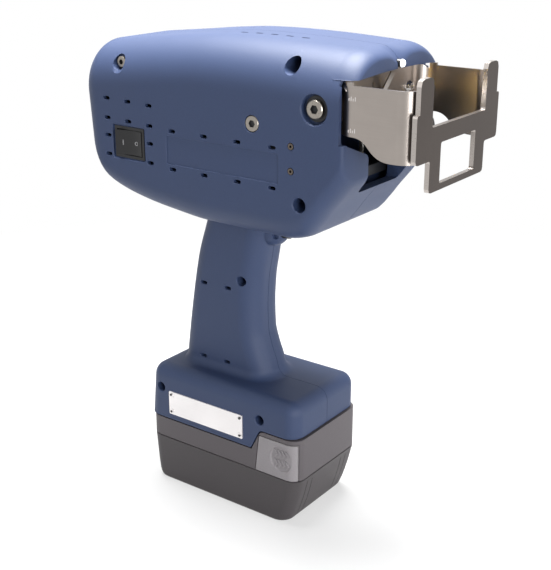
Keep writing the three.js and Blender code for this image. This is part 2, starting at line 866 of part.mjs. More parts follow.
// Trigger pod: an upright round boss with a domed underside
function podForm(inset) {
  const radius = podRadius - inset;
  const rise = podDrop + wall + overrun;
  const profile = [new THREE.Vector2(0, rise), new THREE.Vector2(radius, rise)];
  for (let k = 0; k <= arcSteps; k += 1) {
    const angle = (k / arcSteps) * Math.PI / 2;
    profile.push(new THREE.Vector2(radius * Math.cos(angle), -(podDomeHeight - inset) * Math.sin(angle)));
  }
  const geometry = new THREE.LatheGeometry(profile.reverse(), podSides);
  geometry.rotateX(Math.PI / 2);
  geometry.translate(podX, 0, podCentreZ);
  return solid(geometry);
}

// A vent slot with round ends, as a cutter through a side wall
function ventY(x, z, y0, y1) {
  const [a, b] = [ventLength / 2, ventHeight / 2];
  const corners = [[x - a, z - b, b], [x + a, z - b, b], [x + a, z + b, b], [x - a, z + b, b]];
  return prismY(outline(corners), y0, y1, ventSegments);
}

function ventZ(x, y, z0, z1) {
  const [a, b] = [ventLength / 2, ventHeight / 2];
  const corners = [[x - a, y - b, b], [x + a, y - b, b], [x + a, y + b, b], [x - a, y + b, b]];
  return prismZ(outline(corners), z0, z1, ventSegments);
}

function rectangle(u0, u1, v0, v1, radius) {
  return outline([[u0, v0, radius], [u1, v0, radius], [u1, v1, radius], [u0, v1, radius]]);
}

// The rear face leans, so pieces seated in it are sheared by the same amount
function leaned(body) {
  const shear = new THREE.Matrix4().makeShear(0, 0, 0, 0, -rearLean, 0);
  return moved(body, shear.setPosition(rearLean * headMiddle, 0, 0));
}

// Nose opening, with a wall round it inside the head
function throatShape(grow) {
  const side = headWidth / 2 - wall;
  const half = [
    [side + grow, visorLip + grow, throatRound],
    [side + grow, throatLow - grow, throatRound],
    [throatShoulderSide + grow, throatLow - throatShoulderDrop - grow, throatRound],
    [slotHalf + grow, throatShoulder - grow, throatRound],
    [slotHalf + grow, slotLow - grow, slotRound],
  ];
  return outline([...half, ...half.map(([y, z, radius]) => [-y, z, radius]).reverse()]);
}

// The raised step under the front of the foot
function stepCut(grow) {
  const far = footFront + footRound;
  const under = footLow - footRound;
  const corner = [footStepX + footStepRun - grow, footStepTop + grow];
  return prismY(outline([[footStepX - grow, under], [footStepX - grow, footLow], corner,
    [far, footStepTop + grow], [far, under]]), -headWidth, headWidth);
}

const terminalFront = tongueRear - terminalGap;
const terminalRear = terminalFront - terminalLength;
const terminalMiddle = (terminalFront + terminalRear) / 2;
const triggerFront = podX + podRadius + triggerProud;
const triggerRear = triggerFront - triggerLength;
const switchFront = triggerRear - triggerTravel - running;
const switchMiddle = switchFront - triggerSwitchLength / 2;
const boardPosts = [boardRear + boardPostInset, boardFront - boardPostInset]
  .flatMap((x) => [boardLow + boardPostInset, boardTop - boardPostInset].map((z) => [x, z]));
const [recessA, recessB] = nameRecessShares.map(headPlace);
const insertLevels = insertLevelShares.map((share) => headBottom + headHeight * share);

function screwAt(place, shares, bore, half) {
  const [x, z] = place(shares);
  return { x, z, bore, seatY: half * shares[2] };
}

const caseScrews = {
  rear_top: screwAt(headPlace, rearTopScrewShares, headScrewBore, sideY),
  nose_top: screwAt(headPlace, noseTopScrewShares, headScrewBore, sideY),
  nose_low: screwAt(headPlace, noseLowScrewShares, headScrewBore, sideY),
  grip: screwAt(gripPlace, gripScrewShares, lowScrewBore, gripHalfWidth),
  foot_rear: screwAt(footPlace, footRearScrewShares, lowScrewBore, footHalfWidth),
  foot_front: screwAt(footPlace, footFrontScrewShares, lowScrewBore, footHalfWidth),
};

// Side vents stand in rows that drop a little forwards, and the rocker takes the middle place of the low rows
const sideVents = ventRowShares.flatMap((up, row) => ventColumnShares
  .map((along, column) => headPlace([along, up - ventRowDropShare * column]))
  .filter((place, column) => row < fullVentRows || column !== 1));
const stripVents = stripVentShares.flatMap((along) => stripVentLevelShares.map((up) => headPlace([along, up])));

function bothSides(make) {
  const right = make();
  return [right, mirrored(right)];
}

function housing() {
  const outer = without(joined([
    headForm(0, outerCornerSteps, headSteps),
    visorForm(0, visorLip, outerCornerSteps),
    gripForm(0, outerCornerSteps),
    footForm(0, footLow, outerCornerSteps),
    podForm(0),
  ]), [scoop(0), stepCut(0)]);
  const footHollow = footForm(wall, footLow - overrun, innerCornerSteps).subtract(stepCut(wall));
  const hoodHollow = visorForm(wall, visorLip - overrun, innerCornerSteps)
    .intersect(box(noseFace, noseFace + headWidth, -sideY, sideY, headBottom, headTop))
    .subtract(scoop(wall));
  const hollow = joined([
    headForm(wall, innerCornerSteps, innerHeadSteps).subtract(scoop(wall)),
    hoodHollow,
    gripForm(wall, innerCornerSteps),
    footHollow,
    podForm(wall),
  ]);
  const throat = prismX(throatShape(throatWall), noseFace - throatDepth, noseFace - wall / 2).intersect(outer);
  let body = without(outer.subtract(hollow).add(throat), [
    prismX(throatShape(0), noseFace - throatDepth - overrun, noseFace + headWidth),
    box(noseFace, guideFace, -lampSlotHalf, lampSlotHalf, throatLow, lampStripTop + lampSlotGap),
  ]);

  const bosses = Object.values(caseScrews).map(({ x, z, bore }) => (
    barY(bore + bossWall, -sideY, sideY, x, z, smallSides).intersect(outer)));
  const cups = bothSides(() => barY(clampPocket + clampCupWall, -sideY + wall / 2, -clampFloorInner,
    clampScrewX, clampScrewZ, roundSides));
  const footInner = footHalfWidth - wall / 2;
  const rails = bothSides(() => box(railRear, railFront, -footInner, -railInner, railLow, railLow + railThick));
  const shelfLow = terminalWingLow - terminalShelfThick;
  const shelfTop = terminalWingLow + terminalBarHeight + terminalShelfThick;
  const shelves = bothSides(() => box(terminalRear - terminalShelfLip, terminalFront + terminalShelfLip,
    -footInner, -terminalHalf - seat, shelfLow, shelfTop));
  const switchPosts = bothSides(() => barY(boardPostRadius, -gripHalfWidth + wall / 2,
    -triggerSwitchHalf - seat, switchMiddle, triggerZ, smallSides));
  const boardBosses = boardPosts.map(([x, z]) => joined([
    barY(boardPostRadius, boardY + boardThick + faceGap, sideY - wall / 2, x, z, smallSides),
    barY(boardPin, boardY - boardThick, sideY - wall / 2, x, z, smallSides),
  ]));
  body = joined([body, ...bosses, ...cups, ...rails, ...shelves, ...switchPosts, ...boardBosses]);

  const wingHalf = terminalBarLength / 2 + seat;
  const ventCuts = bothSides(() => joined([
    ...[...sideVents, ...stripVents].map(([x, z]) => ventY(x, z, -sideY - overrun, -sideY + wall + overrun)),
    ...gripVentShares.map(gripPlace)
      .map(([x, z]) => ventY(x, z, -gripHalfWidth - overrun, -gripHalfWidth + wall + overrun)),
    ...topVentShares.map((along) => ventZ(headRear + headLength * along, -topVentY, headTop - topVentDepth,
      headTop + overrun)),
    prismY(rectangle(recessA[0], recessB[0], recessA[1], recessB[1], nameRecessDepth), -sideY - overrun,
      -sideY + nameRecessDepth),
    barY(clampPocket, -sideY - overrun, -clampFloorOuter, clampScrewX, clampScrewZ, roundSides),
    barY(clampShank + seat, -sideY, -clampFloorInner + overrun, clampScrewX, clampScrewZ, smallSides),
    barY(frameScrewHead + seat, -sideY - overrun, -sideY + frameScrewSink, frameScrewX, frameScrewZ, roundSides),
    barY(frameScrewShank + seat, -sideY, -sideY + wall + overrun, frameScrewX, frameScrewZ, smallSides),
    box(terminalMiddle - wingHalf, terminalMiddle + wingHalf, -terminalHalf - terminalWing - seat, 0,
      terminalWingLow - seat, terminalWingLow + terminalBarHeight + seat),
  ]));
  const screwCuts = Object.values(caseScrews).map(({ x, z, bore, seatY }) => joined([
    barY(bore, -sideY - overrun, -seatY, x, z, boltSides),
    barY(screwShank + seat, -seatY - overrun, screwBite + overrun, x, z, smallSides),
  ]));
  const [recessX, recessZ] = [rockerRecessLength / 2, rockerRecessHeight / 2];
  const [holeA, holeB] = [rockerBodyLength / 2 + seat, rockerBodyHeight / 2 + seat];
  const [panelA, panelB] = [panelHalfWidth + seat, panelHalfHeight + seat];
  const rightCuts = [
    prismY(rectangle(rockerX - recessX, rockerX + recessX, rockerZ - recessZ, rockerZ + recessZ,
      rockerRecessRound), -sideY - overrun, -rockerSeatY),
    box(rockerX - holeA, rockerX + holeA, -sideY, -sideY + wall + overrun, rockerZ - holeB, rockerZ + holeB),
    barY(podHoleRadius, -podRadius - overrun, -podHoleDepth, podX + podHoleAhead, podCentreZ - podHoleDrop,
      smallSides),
    ...insertLevels.map((z) => (
      barY(insertRadius + seat, -sideY - overrun, -sideY + wall + overrun, insertX, z, smallSides))),
  ];
  const centreCuts = [
    leaned(prismX(rectangle(-panelA, panelA, panelCentreZ - panelB, panelCentreZ + panelB, panelRound + seat),
      headRear - overrun, headRear + wall + overrun)),
    barX(triggerRadius + seat, podX - overrun, triggerFront, 0, triggerZ, roundSides),
    box(tongueRear, packFront, -tongueHalf - running, tongueHalf + running, railLow + railThick,
      tongueTop + running),
    box(tongueRear, packFront, -railInner, railInner, railLow - railThick, railLow + railThick + seat),
  ];
  body = without(body, [...ventCuts, ...screwCuts, ...rightCuts, ...centreCuts]);
  const reach = headLength + headHeight;
  return [-1, 1].map((side) => {
    const [near, far] = [side * seamGap / 2, side * reach];
    return body.intersect(box(-reach, reach, Math.min(near, far), Math.max(near, far), -reach, reach + reach));
  });
}

// Screws with a socket in a round head; the head lies at -Y of its seat
function socketScrew({ headRadius, headHeight: rise, shank, reach, seatAt, x, z, sides = boltSides }) {
  const top = seatAt - rise;
  return without(joined([
    barY(headRadius, top, seatAt, x, z, sides),
    barY(shank, seatAt - rise * socketShare / 2, seatAt + reach, x, z, smallSides),
  ]), [barY(headRadius * socketShare, top - overrun, top + rise * socketShare, x, z, hexSides)]);
}

function caseScrew({ x, z, bore, seatY }) {
  return socketScrew({ headRadius: bore * screwHeadShare, headHeight: screwHeadHeight, shank: screwShank,
    reach: seatY + screwBite, seatAt: -seatY, x, z });
}

function frameScrew() {
  return socketScrew({ headRadius: frameScrewHead, headHeight: frameScrewHeight, shank: frameScrewShank,
    reach: wall - frameScrewSink + lugThick - lugGap, seatAt: -sideY + frameScrewSink,
    x: frameScrewX, z: frameScrewZ, sides: roundSides });
}

function clampScrew() {
  const washerFace = -clampFloorOuter - clampWasherThick;
  const reach = clampWasherThick + clampFloor + guideRailThick + clampPad;
  return joined([
    barY(clampWasher, washerFace, -clampFloorOuter, clampScrewX, clampScrewZ, roundSides),
    socketScrew({ headRadius: clampHead, headHeight: clampHeadHeight, shank: clampShank, reach,
      seatAt: washerFace, x: clampScrewX, z: clampScrewZ, sides: roundSides }),
  ]);
}

function insert(z) {
  const outerEnd = -sideY - insertProud;
  return barY(insertRadius, outerEnd, outerEnd + insertLength, insertX, z, smallSides)
    .subtract(barY(insertHole, outerEnd - overrun, outerEnd + insertLength + overrun, insertX, z, hexSides));
}

function ratingPlate() {
  const face = -footHalfWidth - plateThick;
  const [[rear, low], [front, top]] = plateShares.map(footPlace);
  const plate = prismY(rectangle(rear, front, low, top, plateThick), face, -footHalfWidth);
  const rivets = [rear + rivetInset, front - rivetInset].flatMap((x) => (
    [low + rivetInset, top - rivetInset].map((z) => (
      barY(rivetRadius, face - rivetHeight, face + plateThick / 2, x, z, smallSides)))));
  return joined([plate, ...rivets]);
}

// Rocker switch on the right side
const rockerFaceY = -rockerSeatY - rockerFlange;
const rockerPivotY = rockerFaceY + rockerPivotDepth;

function rockerFrame() {
  const [a, b] = [rockerBodyLength / 2, rockerBodyHeight / 2];
  const [c, d] = [a + rockerFlangeWide, b + rockerFlangeWide];
  const floor = rockerPivotY + rockerHeel + running;
  return without(joined([
    box(rockerX - c, rockerX + c, rockerFaceY, -rockerSeatY, rockerZ - d, rockerZ + d),
    box(rockerX - a, rockerX + a, rockerFaceY, -rockerSeatY + rockerBodyDepth, rockerZ - b, rockerZ + b),
  ]), [
    box(rockerX - a + rockerRim, rockerX + a - rockerRim, rockerFaceY - overrun, floor,
      rockerZ - b + rockerRim, rockerZ + b - rockerRim),
    barZ(rockerPin + seat, rockerZ - b - overrun, rockerZ + b + overrun, rockerX, rockerPivotY, smallSides),
  ]);
}

function rocker() {
  const a = rockerBodyLength / 2 - rockerRim - rockerSideGap;
  const b = rockerBodyHeight / 2 - rockerRim - rockerEndGap;
  const face = Array.from({ length: dishSteps + 1 }, (_, i) => {
    const t = 1 - (2 * i) / dishSteps;
    return [a * t, rockerRise - rockerDish * (1 - t * t)];
  });
  const profile = [[-a, 0], [-rockerHeelHalf, -rockerHeel], [rockerHeelHalf, -rockerHeel], [a, 0], ...face];
  const body = joined([
    prismZ(outline(profile), -b, b),
    barZ(rockerPin, -b - rockerPinProud, b + rockerPinProud, 0, 0, smallSides),
  ]);
  const turn = new THREE.Matrix4().makeRotationZ(Math.PI + THREE.MathUtils.degToRad(rockerTilt));
  return moved(body, turn.setPosition(rockerX, rockerPivotY, rockerZ));
}

// Trigger in the pod and its switch inside the handle
function trigger() {
  return turnedX([[triggerRear, triggerRadius], [triggerFront - triggerDome, triggerRadius],
    [triggerFront, triggerRadius - triggerDome]], 0, triggerZ, roundSides);
}

function triggerSwitch() {
  const half = triggerSwitchHeight / 2;
  return joined([
    box(switchFront - triggerSwitchLength, switchFront, -triggerSwitchHalf, triggerSwitchHalf,
      triggerZ - half, triggerZ + half),
    barX(plungerRadius, switchFront - overrun, switchFront + running - seat, 0, triggerZ, smallSides),
  ]);
}

// Stand-off guide: one bent sheet, open at the front and under the window
function guideBracket() {
  const front = guideFace - contactThick;
  const rear = guideWallX - sheet;
  const crown = wallTop + wallCrown;
  const band = (inset) => outline([
    [rear + inset, -armOuter + inset, guideBend - inset],
    [front - inset, -armOuter + inset, armFrontBend - inset],
    [front - inset, armOuter - inset, armFrontBend - inset],
    [rear + inset, armOuter - inset, guideBend - inset],
  ]);
  const sheetBody = prismZ(band(0), armLow, crown, bendSegments)
    .subtract(prismZ(band(sheet), armLow - overrun, crown + overrun, bendSegments));
  const sideView = outline([
    [rear - overrun, armHeelLow],
    [guideWallX + armHeelRun, armHeelLow, armHeelRound],
    [guideWallX + armToeRun, armLow, armToeRound],
    [front + overrun, armLow],
    [front + overrun, armTop],
    [rear + guideBend, armTop],
    [rear + guideBend, crown],
    [rear - overrun, crown],
  ]);
  const crownView = Array.from({ length: crownSteps + 1 }, (_, i) => {
    const t = 1 - (2 * i) / crownSteps;
    return [(armOuter - wallCrownSide) * t, wallTop + wallCrown * (1 - t * t)];
  });
  const rearView = outline([[-sideY, armLow], [sideY, armLow], [sideY, armTop], ...crownView,
    [-sideY, armTop]]);
  const shaped = sheetBody.intersect(prismY(sideView, -sideY, sideY, bendSegments));
  const holes = [-guideScrewY, guideScrewY].map((y) => (
    barX(guideScrewShank + seat, rear - overrun, guideWallX + overrun, y, guideScrewZ, smallSides)));
  return without(shaped.intersect(joined([
    prismX(rearView, rear - overrun, rear + guideBend),
    box(rear + guideBend, front + overrun, -sideY, sideY, armLow, crown),
  ])), [
    prismX(rectangle(-windowHalf, windowHalf, armLow - wall, wallTop - windowDrop, contactCornerRound),
      rear - overrun, guideWallX + overrun),
    box(front - sheet - overrun, front + overrun, frontFlange - armOuter, armOuter - frontFlange,
      armLow - overrun, crown),
    box(rear - overrun, guideWallX + overrun, -wallSlotSide - wallSlotWide, -wallSlotSide,
      wallTop - wallSlotTopGap - wallSlotHeight, wallTop - wallSlotTopGap),
    ...holes,
  ]);
}

function contactPlate() {
  const top = armTop + contactRise;
  const low = top - contactHeight;
  const up = (share) => low + contactHeight * share;
  const [postInner, postOuter] = contactPostShares.map((share) => contactOuter * share);
  const half = [
    [postInner, up(contactNotchShare), contactInnerRound],
    [postInner, top, contactPostRound],
    [postOuter, top, contactPostRound],
    [postOuter, up(contactShoulderShare)],
    [contactOuter, up(contactShoulderShare), contactInnerRound],
    [contactOuter, up(contactWingShare), contactCornerRound],
    [contactOuter * contactFootShare, up(contactWingShare), contactInnerRound],
    [contactOuter * contactFootShare, low, contactCornerRound],
  ];
  const shape = outline([...half, ...half.map(([y, z, radius]) => [-y, z, radius]).reverse()]);
  const windowSide = contactOuter * contactWindowHalfShare;
  const window = rectangle(-windowSide, windowSide, ...contactWindowShares.map(up), contactInnerRound);
  return prismX(shape, guideFace - contactThick, guideFace)
    .subtract(prismX(window, guideFace - contactThick - overrun, guideFace + overrun));
}

function guideRail() {
  const front = guideWallX - sheet;
  const rear = clampScrewX - guideRailTail;
  const plan = outline([
    [rear, -railOuterY], [front, -railOuterY], [front, -guideFlangeInner],
    [front - guideFlangeThick, -guideFlangeInner], [front - guideFlangeThick, -railInnerY], [rear, -railInnerY],
  ]);
  const gap = clampShank + seat;
  return without(prismZ(plan, clampScrewZ - guideRailHalfHeight, clampScrewZ + guideRailHalfHeight), [
    prismY(rectangle(clampScrewX - gap, clampScrewX + gap + guideTravel, clampScrewZ - gap, clampScrewZ + gap,
      gap), -railOuterY - overrun, -railInnerY + overrun),
    barX(guideScrewShank + seat, front - guideFlangeThick - overrun, front + overrun, -guideScrewY, guideScrewZ,
      smallSides),
  ]);
}

function guideScrew() {
  const top = guideWallX + guideScrewHeight;
  const end = guideWallX - sheet - guideFlangeThick - guideScrewEnd;
  const profile = [[end, guideScrewShank], [guideWallX, guideScrewShank], [guideWallX, guideScrewHead],
    [top, guideScrewCrown]];
  return without(turnedX(profile, -guideScrewY, guideScrewZ, boltSides), [barX(guideScrewCrown * socketShare,
    top - guideScrewHeight * socketShare, top + overrun, -guideScrewY, guideScrewZ, hexSides)]);
}

// Marking unit on its carriage
const ringRearX = unitRear + unitFlange;
const coilRearX = ringRearX + endPlateWidth;
const ringFrontX = coilRearX + coilLength;
const noseRearX = ringFrontX + endPlateWidth;
const noseTipX = noseRearX + noseLength;
const stylusTip = noseTipX + stylusProud;

function carriageBlock() {
  const [y, z] = [unitY, unitZ];
  const front = slideX + blockLength / 2;
  return without(joined([
    box(slideX - blockLength / 2, front, y - blockHalfWidth, y + blockHalfWidth, z - blockHalfHeight,
      z + blockHalfHeight),
    barX(neckRadius, front - unitFlange, unitRear + unitFlange / 2, y, z, roundSides),
    barX(unitFlangeRadius, unitRear, unitRear + unitFlange, y, z, roundSides),
  ]), [
    barY(leadScrew + seat, y - blockHalfWidth - overrun, y + blockHalfWidth + overrun, slideX, z, smallSides),
    ...[-slideRodOffset, slideRodOffset].map((rise) => (
      barY(slideRod + seat, y - blockHalfWidth - overrun, y + blockHalfWidth + overrun, slideX, z + rise,
        smallSides))),
  ]);
}

function coilBody() {
  return barX(coilRadius, coilRearX, ringFrontX, unitY, unitZ, drumSides)
    .subtract(barX(armatureBore, coilRearX - overrun, ringFrontX + overrun, unitY, unitZ, boltSides));
}

function endPlate(x, bore) {
  const plate = barX(endPlateRadius, x, x + endPlateWidth, unitY, unitZ, drumSides);
  if (bore === 0) return plate;
  return plate.subtract(barX(bore, x - overrun, x + endPlateWidth + overrun, unitY, unitZ, boltSides));
}

function stylusNose() {
  const profile = [[noseRearX, noseRadius], [noseTipX - noseTaper, noseRadius], [noseTipX, noseTipRadius]];
  return without(turnedX(profile, unitY, unitZ, drumSides), [
    barX(stylusRadius + seat, noseRearX - overrun, noseTipX + overrun, unitY, unitZ, smallSides),
  ]);
}

function stylusPin() {
  const tail = stylusTip - stylusTail;
  return turnedX([[tail - armatureLength, armatureRadius], [tail, armatureRadius], [tail, stylusRadius],
    [stylusTip - stylusPoint, stylusRadius], [stylusTip, stylusTipRadius]], unitY, unitZ, boltSides);
}

// Lifting bridge, its rods and the motors
function bridge() {
  const [low, high] = [unitZ - bridgeHalfHeight, unitZ + bridgeHalfHeight];
  const holes = [-slideRodOffset, slideRodOffset].map((rise) => (
    barY(slideRod + seat, -cheekOuter - overrun, cheekOuter + overrun, slideX, unitZ + rise, smallSides)));
  return without(joined([
    ...bothSides(() => box(bridgeRear, slideX + bridgeHalfLength, -cheekOuter, -cheekInner, low, high)),
    box(bridgeRear, bridgeRear + bridgeBack, -cheekOuter, cheekOuter, low, high),
    box(liftX - liftNutHalf, bridgeRear + bridgeBack, -liftNutHalf, liftNutHalf, unitZ - liftNutHalf,
      unitZ + liftNutHalf),
  ]), [
    ...holes,
    barY(leadScrew + seat, -cheekOuter - overrun, cheekOuter + overrun, slideX, unitZ, smallSides),
    barZ(leadScrew + seat, low, high, liftX, 0, smallSides),
    ...bothSides(() => barZ(postRadius + seat, low - overrun, high + overrun, postX, -postY, smallSides)),
  ]);
}

function slideRodAt(rise) {
  return barY(slideRod, -cheekOuter + seat, cheekOuter - seat, slideX, unitZ + rise, boltSides);
}

function crossScrew() {
  return barY(leadScrew, -cheekOuter + running, cheekOuter - running, slideX, unitZ, boltSides);
}

function crossMotor() {
  return prismY(rectangle(slideX - motorHalf, slideX + motorHalf, unitZ - motorHalf, unitZ + motorHalf,
    motorRound), cheekOuter, cheekOuter + yMotorLength);
}

function slideFrame() {
  const band = sideY - wall - lugGap;
  const [lugLow, lugHigh] = [frameScrewZ - lugHalfHeight, frameScrewZ + lugHalfHeight];
  const lugs = bothSides(() => box(frameRear, frameScrewX + lugAhead, -band, -band + lugThick, lugLow, lugHigh));
  const pads = bothSides(() => box(frameFront - padLength, frameFront, -padOuterY, -padInnerY,
    clampScrewZ - clampPadHalfHeight, clampScrewZ + clampPadHalfHeight));
  const windowHalfWidth = frameHalf - frameJamb;
  return without(joined([
    box(frameRear, frameRear + frameThick, -frameHalf, frameHalf, frameLow, frameRoof),
    box(frameRear, frameRear + frameThick, -band, band, lugLow, lugHigh),
    box(frameRear, frameFront, -frameHalf, frameHalf, frameLow, innerLow),
    box(frameRear, frameFront, -frameHalf, frameHalf, frameTop, frameRoof),
    box(frameFront - frameThick, frameFront, -frameHalf, frameHalf, frameLow, frameRoof),
    ...lugs,
    ...pads,
  ]), [
    box(frameFront - frameThick - overrun, frameFront + overrun, -windowHalfWidth, windowHalfWidth,
      frameLow + frameSill, frameRoof - frameLintel),
    barZ(screwNeck + seat, frameLow - overrun, frameRoof + overrun, liftX, 0, smallSides),
    barY(clampShank + seat, -frameHalf - wall, frameHalf + wall, clampScrewX, clampScrewZ, smallSides),
    barY(frameScrewShank + seat, -sideY, sideY, frameScrewX, frameScrewZ, smallSides),
  ]);
}

function post() {
  return barZ(postRadius, innerLow, frameTop, postX, -postY, boltSides);
}

function liftScrew() {
  return joined([
    barZ(leadScrew, innerLow + running, frameTop - running, liftX, 0, boltSides),
    barZ(screwNeck, frameLow + seat, frameRoof - seat, liftX, 0, smallSides),
  ]);
}

function liftMotor() {
  return prismZ(rectangle(liftX - motorHalf, liftX + motorHalf, -motorHalf, motorHalf, motorRound), frameRoof,
    frameRoof + zMotorHeight);
}

// Work light on its bent strip under the hood
function lampBracket() {
  const rear = noseFace;
  const front = noseFace + lampStripThick;
  const shape = outline([
    [lampStripFoot, lampStripLow], [lampStripFoot + lampStripThick, lampStripLow], [front, lampStripKnee],
    [front, lampStripTop], [rear, lampStripTop], [rear, lampStripKnee],
  ]);
  return prismY(shape, -lampStripHalf, lampStripHalf);
}

function lampLens() {
  const rear = noseFace + lampStripThick;
  const front = noseFace + visorReach + lampProud;
  return turnedX([[rear, lampRadius], [front - lampRadius / 2, lampRadius], [front, lampRadius / 2]], 0, lampZ,
    boltSides);
}

// Control panel in the rear face
const panelFace = headRear + seat;
const paneTop = panelCentreZ + panelHalfHeight - panelBorder;
const padLow = panelCentreZ - panelHalfHeight + panelBorder;
const paneZ = [paneTop - displayHeight, paneTop];
const padZ = [padLow, padLow + keypadHeight];
const paneHalf = panelHalfWidth - panelBorder;

function controlPanel() {
  const [a, b, c] = [panelHalfWidth, panelHalfHeight, panelFlange];
  const back = headRear + wall + seat + panelFlangeThick;
  const body = joined([
    prismX(rectangle(-a, a, panelCentreZ - b, panelCentreZ + b, panelRound), panelFace, back),
    prismX(rectangle(-a - c, a + c, panelCentreZ - b - c, panelCentreZ + b + c, panelRound + c),
      headRear + wall + seat, back),
  ]);
  return leaned(without(body, [
    prismX(rectangle(-paneHalf, paneHalf, ...paneZ, seat), headRear - overrun, panelFace + displayThick + seat),
    prismX(rectangle(-paneHalf, paneHalf, ...padZ, seat), headRear - overrun, panelFace + keypadThick + seat),
  ]));
}

function displayWindow() {
  return leaned(prismX(rectangle(seat - paneHalf, paneHalf - seat, paneZ[0] + seat, paneZ[1] - seat, seat),
    panelFace, panelFace + displayThick));
}

function keypad() {
  const sheetBody = prismX(rectangle(seat - paneHalf, paneHalf - seat, padZ[0] + seat, padZ[1] - seat, seat),
    panelFace, panelFace + keypadThick);
  const middle = (padZ[0] + padZ[1]) / 2;
  const pitchY = (2 * paneHalf) / (keyColumns + keyMarginShare);
  const half = (pitchY - keyGapY) / 2;
  const keys = [];
  for (let row = 0; row < keyRows; row += 1) {
    for (let column = 0; column < keyColumns; column += 1) {
      const y = (column - (keyColumns - 1) / 2) * pitchY;
      const z = middle + (row - (keyRows - 1) / 2) * keyPitchZ;
      keys.push(box(panelFace - keyProud, panelFace + keypadThick / 2, y - half, y + half,
        z - keyHeight / 2, z + keyHeight / 2));
    }
  }
  return leaned(joined([sheetBody, ...keys]));
}

function controlBoard() {
  const [length, height] = [boardFront - boardRear, boardTop - boardLow];
  return without(joined([
    box(boardRear, boardFront, boardY, boardY + boardThick, boardLow, boardTop),
    ...chipShares.map(([along, up, wide, tall]) => {
      const [x, z] = [boardRear + length * along, boardLow + height * up];
      const [a, b] = [length * wide, height * tall];
      return box(x - a, x + a, boardY - chipHeight, boardY + boardThick / 2, z - b, z + b);
    }),
  ]), boardPosts.map(([x, z]) => (
    barY(boardPin + seat, boardY - boardThick, boardY + boardThick + overrun, x, z, smallSides))));
}

// Terminal block with its contact blades, and the lead up the handle
function bladeYs() {
  return Array.from({ length: bladeCount }, (_, i) => (i - (bladeCount - 1) / 2) * bladePitch);
}

function terminalBlock() {
  const reach = terminalHalf + terminalWing;
  const barHalf = terminalBarLength / 2;
  return joined([
    box(terminalRear, terminalFront, -terminalHalf, terminalHalf, terminalLow, terminalTop),
    box(terminalMiddle - barHalf, terminalMiddle + barHalf, -reach, reach, terminalWingLow,
      terminalWingLow + terminalBarHeight),
    ...bladeYs().map((y) => box(terminalMiddle, terminalFront + bladeLength, y - bladeThick / 2,
      y + bladeThick / 2, bladeZ, bladeZ + bladeHeight)),
  ]);
}

function powerLead() {
  const path = new THREE.CatmullRomCurve3(leadPath.map(([x, z]) => new THREE.Vector3(x, 0, z)));
  const shape = new THREE.Shape().absarc(0, 0, leadRadius, 0, Math.PI * 2);
  return solid(new THREE.ExtrudeGeometry(shape, {
    steps: leadSteps, curveSegments: leadSegments, extrudePath: path,
  }));
}

// Battery pack
const packLength = packFront - packRear;

function packForm(inset) {
  const rings = packBellyShares.map(([level, endShare, sideShare], i) => {
    const last = i === packBellyShares.length - 1;
    const z = packSeam * level + (i === 0 ? inset : 0) + (last && inset > 0 ? overrun : 0);
    const end = packLength * endShare + inset;
    const half = packHalfWidth * sideShare - inset;
    const radii = Array(4).fill(packRound - inset);
    return ring(packRear + end, packFront - end, -half, half, radii, outerCornerSteps,
      (x, y) => new THREE.Vector3(x, y, z));
  });
  return loft(rings);
}

const packMiddle = (packRear + packFront) / 2;
const cells = Array.from({ length: cellCount }, (_, i) => (
  [packMiddle + (i - (cellCount - 1) / 2) * cellPitch, i % 2 === 0 ? cellLow + cellRise : cellLow]));

// The case has two ribs with saddles that hold the cells
function packCase() {
  const ribs = bothSides(() => box(cells[1][0], cells[cellCount - 2][0], -saddleY - saddleHalf,
    -saddleY + saddleHalf, packWall / 2, saddleTop));
  const beds = cells.map(([x, z]) => barY(cellRadius + seat, -packHalfWidth + packWall + overrun,
    packHalfWidth - packWall - overrun, x, z, roundSides));
  return joined([packForm(0).subtract(packForm(packWall)), ...ribs.map((rib) => without(rib, beds))]);
}

function cell([x, z]) {
  return joined([
    barY(cellRadius, -cellHalfLength, cellHalfLength - cellButton, x, z, roundSides),
    barY(cellRadius * socketShare, 0, cellHalfLength, x, z, smallSides),
  ]);
}

function collarForm() {
  const [low, high] = [packSeam + packSeamGap, packRoofFront];
  const radii = Array(4).fill(packRound);
  const plan = [low, high].map((z) => ring(packRear, packFront, -packHalfWidth, packHalfWidth, radii,
    outerCornerSteps, (x, y) => new THREE.Vector3(x, y, z)));
  const sideView = outline([[packRear, low], [packFront, low], [packFront, high],
    [footStepX + footStepRun + collarShift, high], [footStepX + collarShift, packRoofRear],
    [packRear, packRoofRear]]);
  return loft(plan).intersect(prismY(sideView, -packHalfWidth, packHalfWidth));
}

function packCollar() {
  const tongue = joined([
    box(tongueRear, tongueFront, -tongueNeck, tongueNeck, packSeam + packSeamGap, tongueTop),
    box(tongueRear, tongueFront, -tongueHalf, tongueHalf, railLow + railThick + railGap, tongueTop),
  ]);
  const hollowTop = packRoofRear - wall;
  const slots = bladeYs().map((y) => {
    const half = bladeThick / 2 + bladeSlotGap;
    return box(tongueRear - overrun, terminalFront + bladeLength + overrun, y - half, y + half,
      bladeZ - bladeSlotGap, tongueTop + overrun);
  });
  const pockets = bothSides(() => box(latchRear - latchGap, latchFront + latchGap, -packHalfWidth - overrun,
    -packHalfWidth + latchThick + latchTravel + latchPocketGap, packSeam, latchTop + latchGap));
  return without(collarForm().add(tongue), [
    box(packRear + packRound, packFront - packRound, -collarHollowHalf, collarHollowHalf, packSeam, hollowTop),
    ...slots,
    ...pockets,
  ]);
}

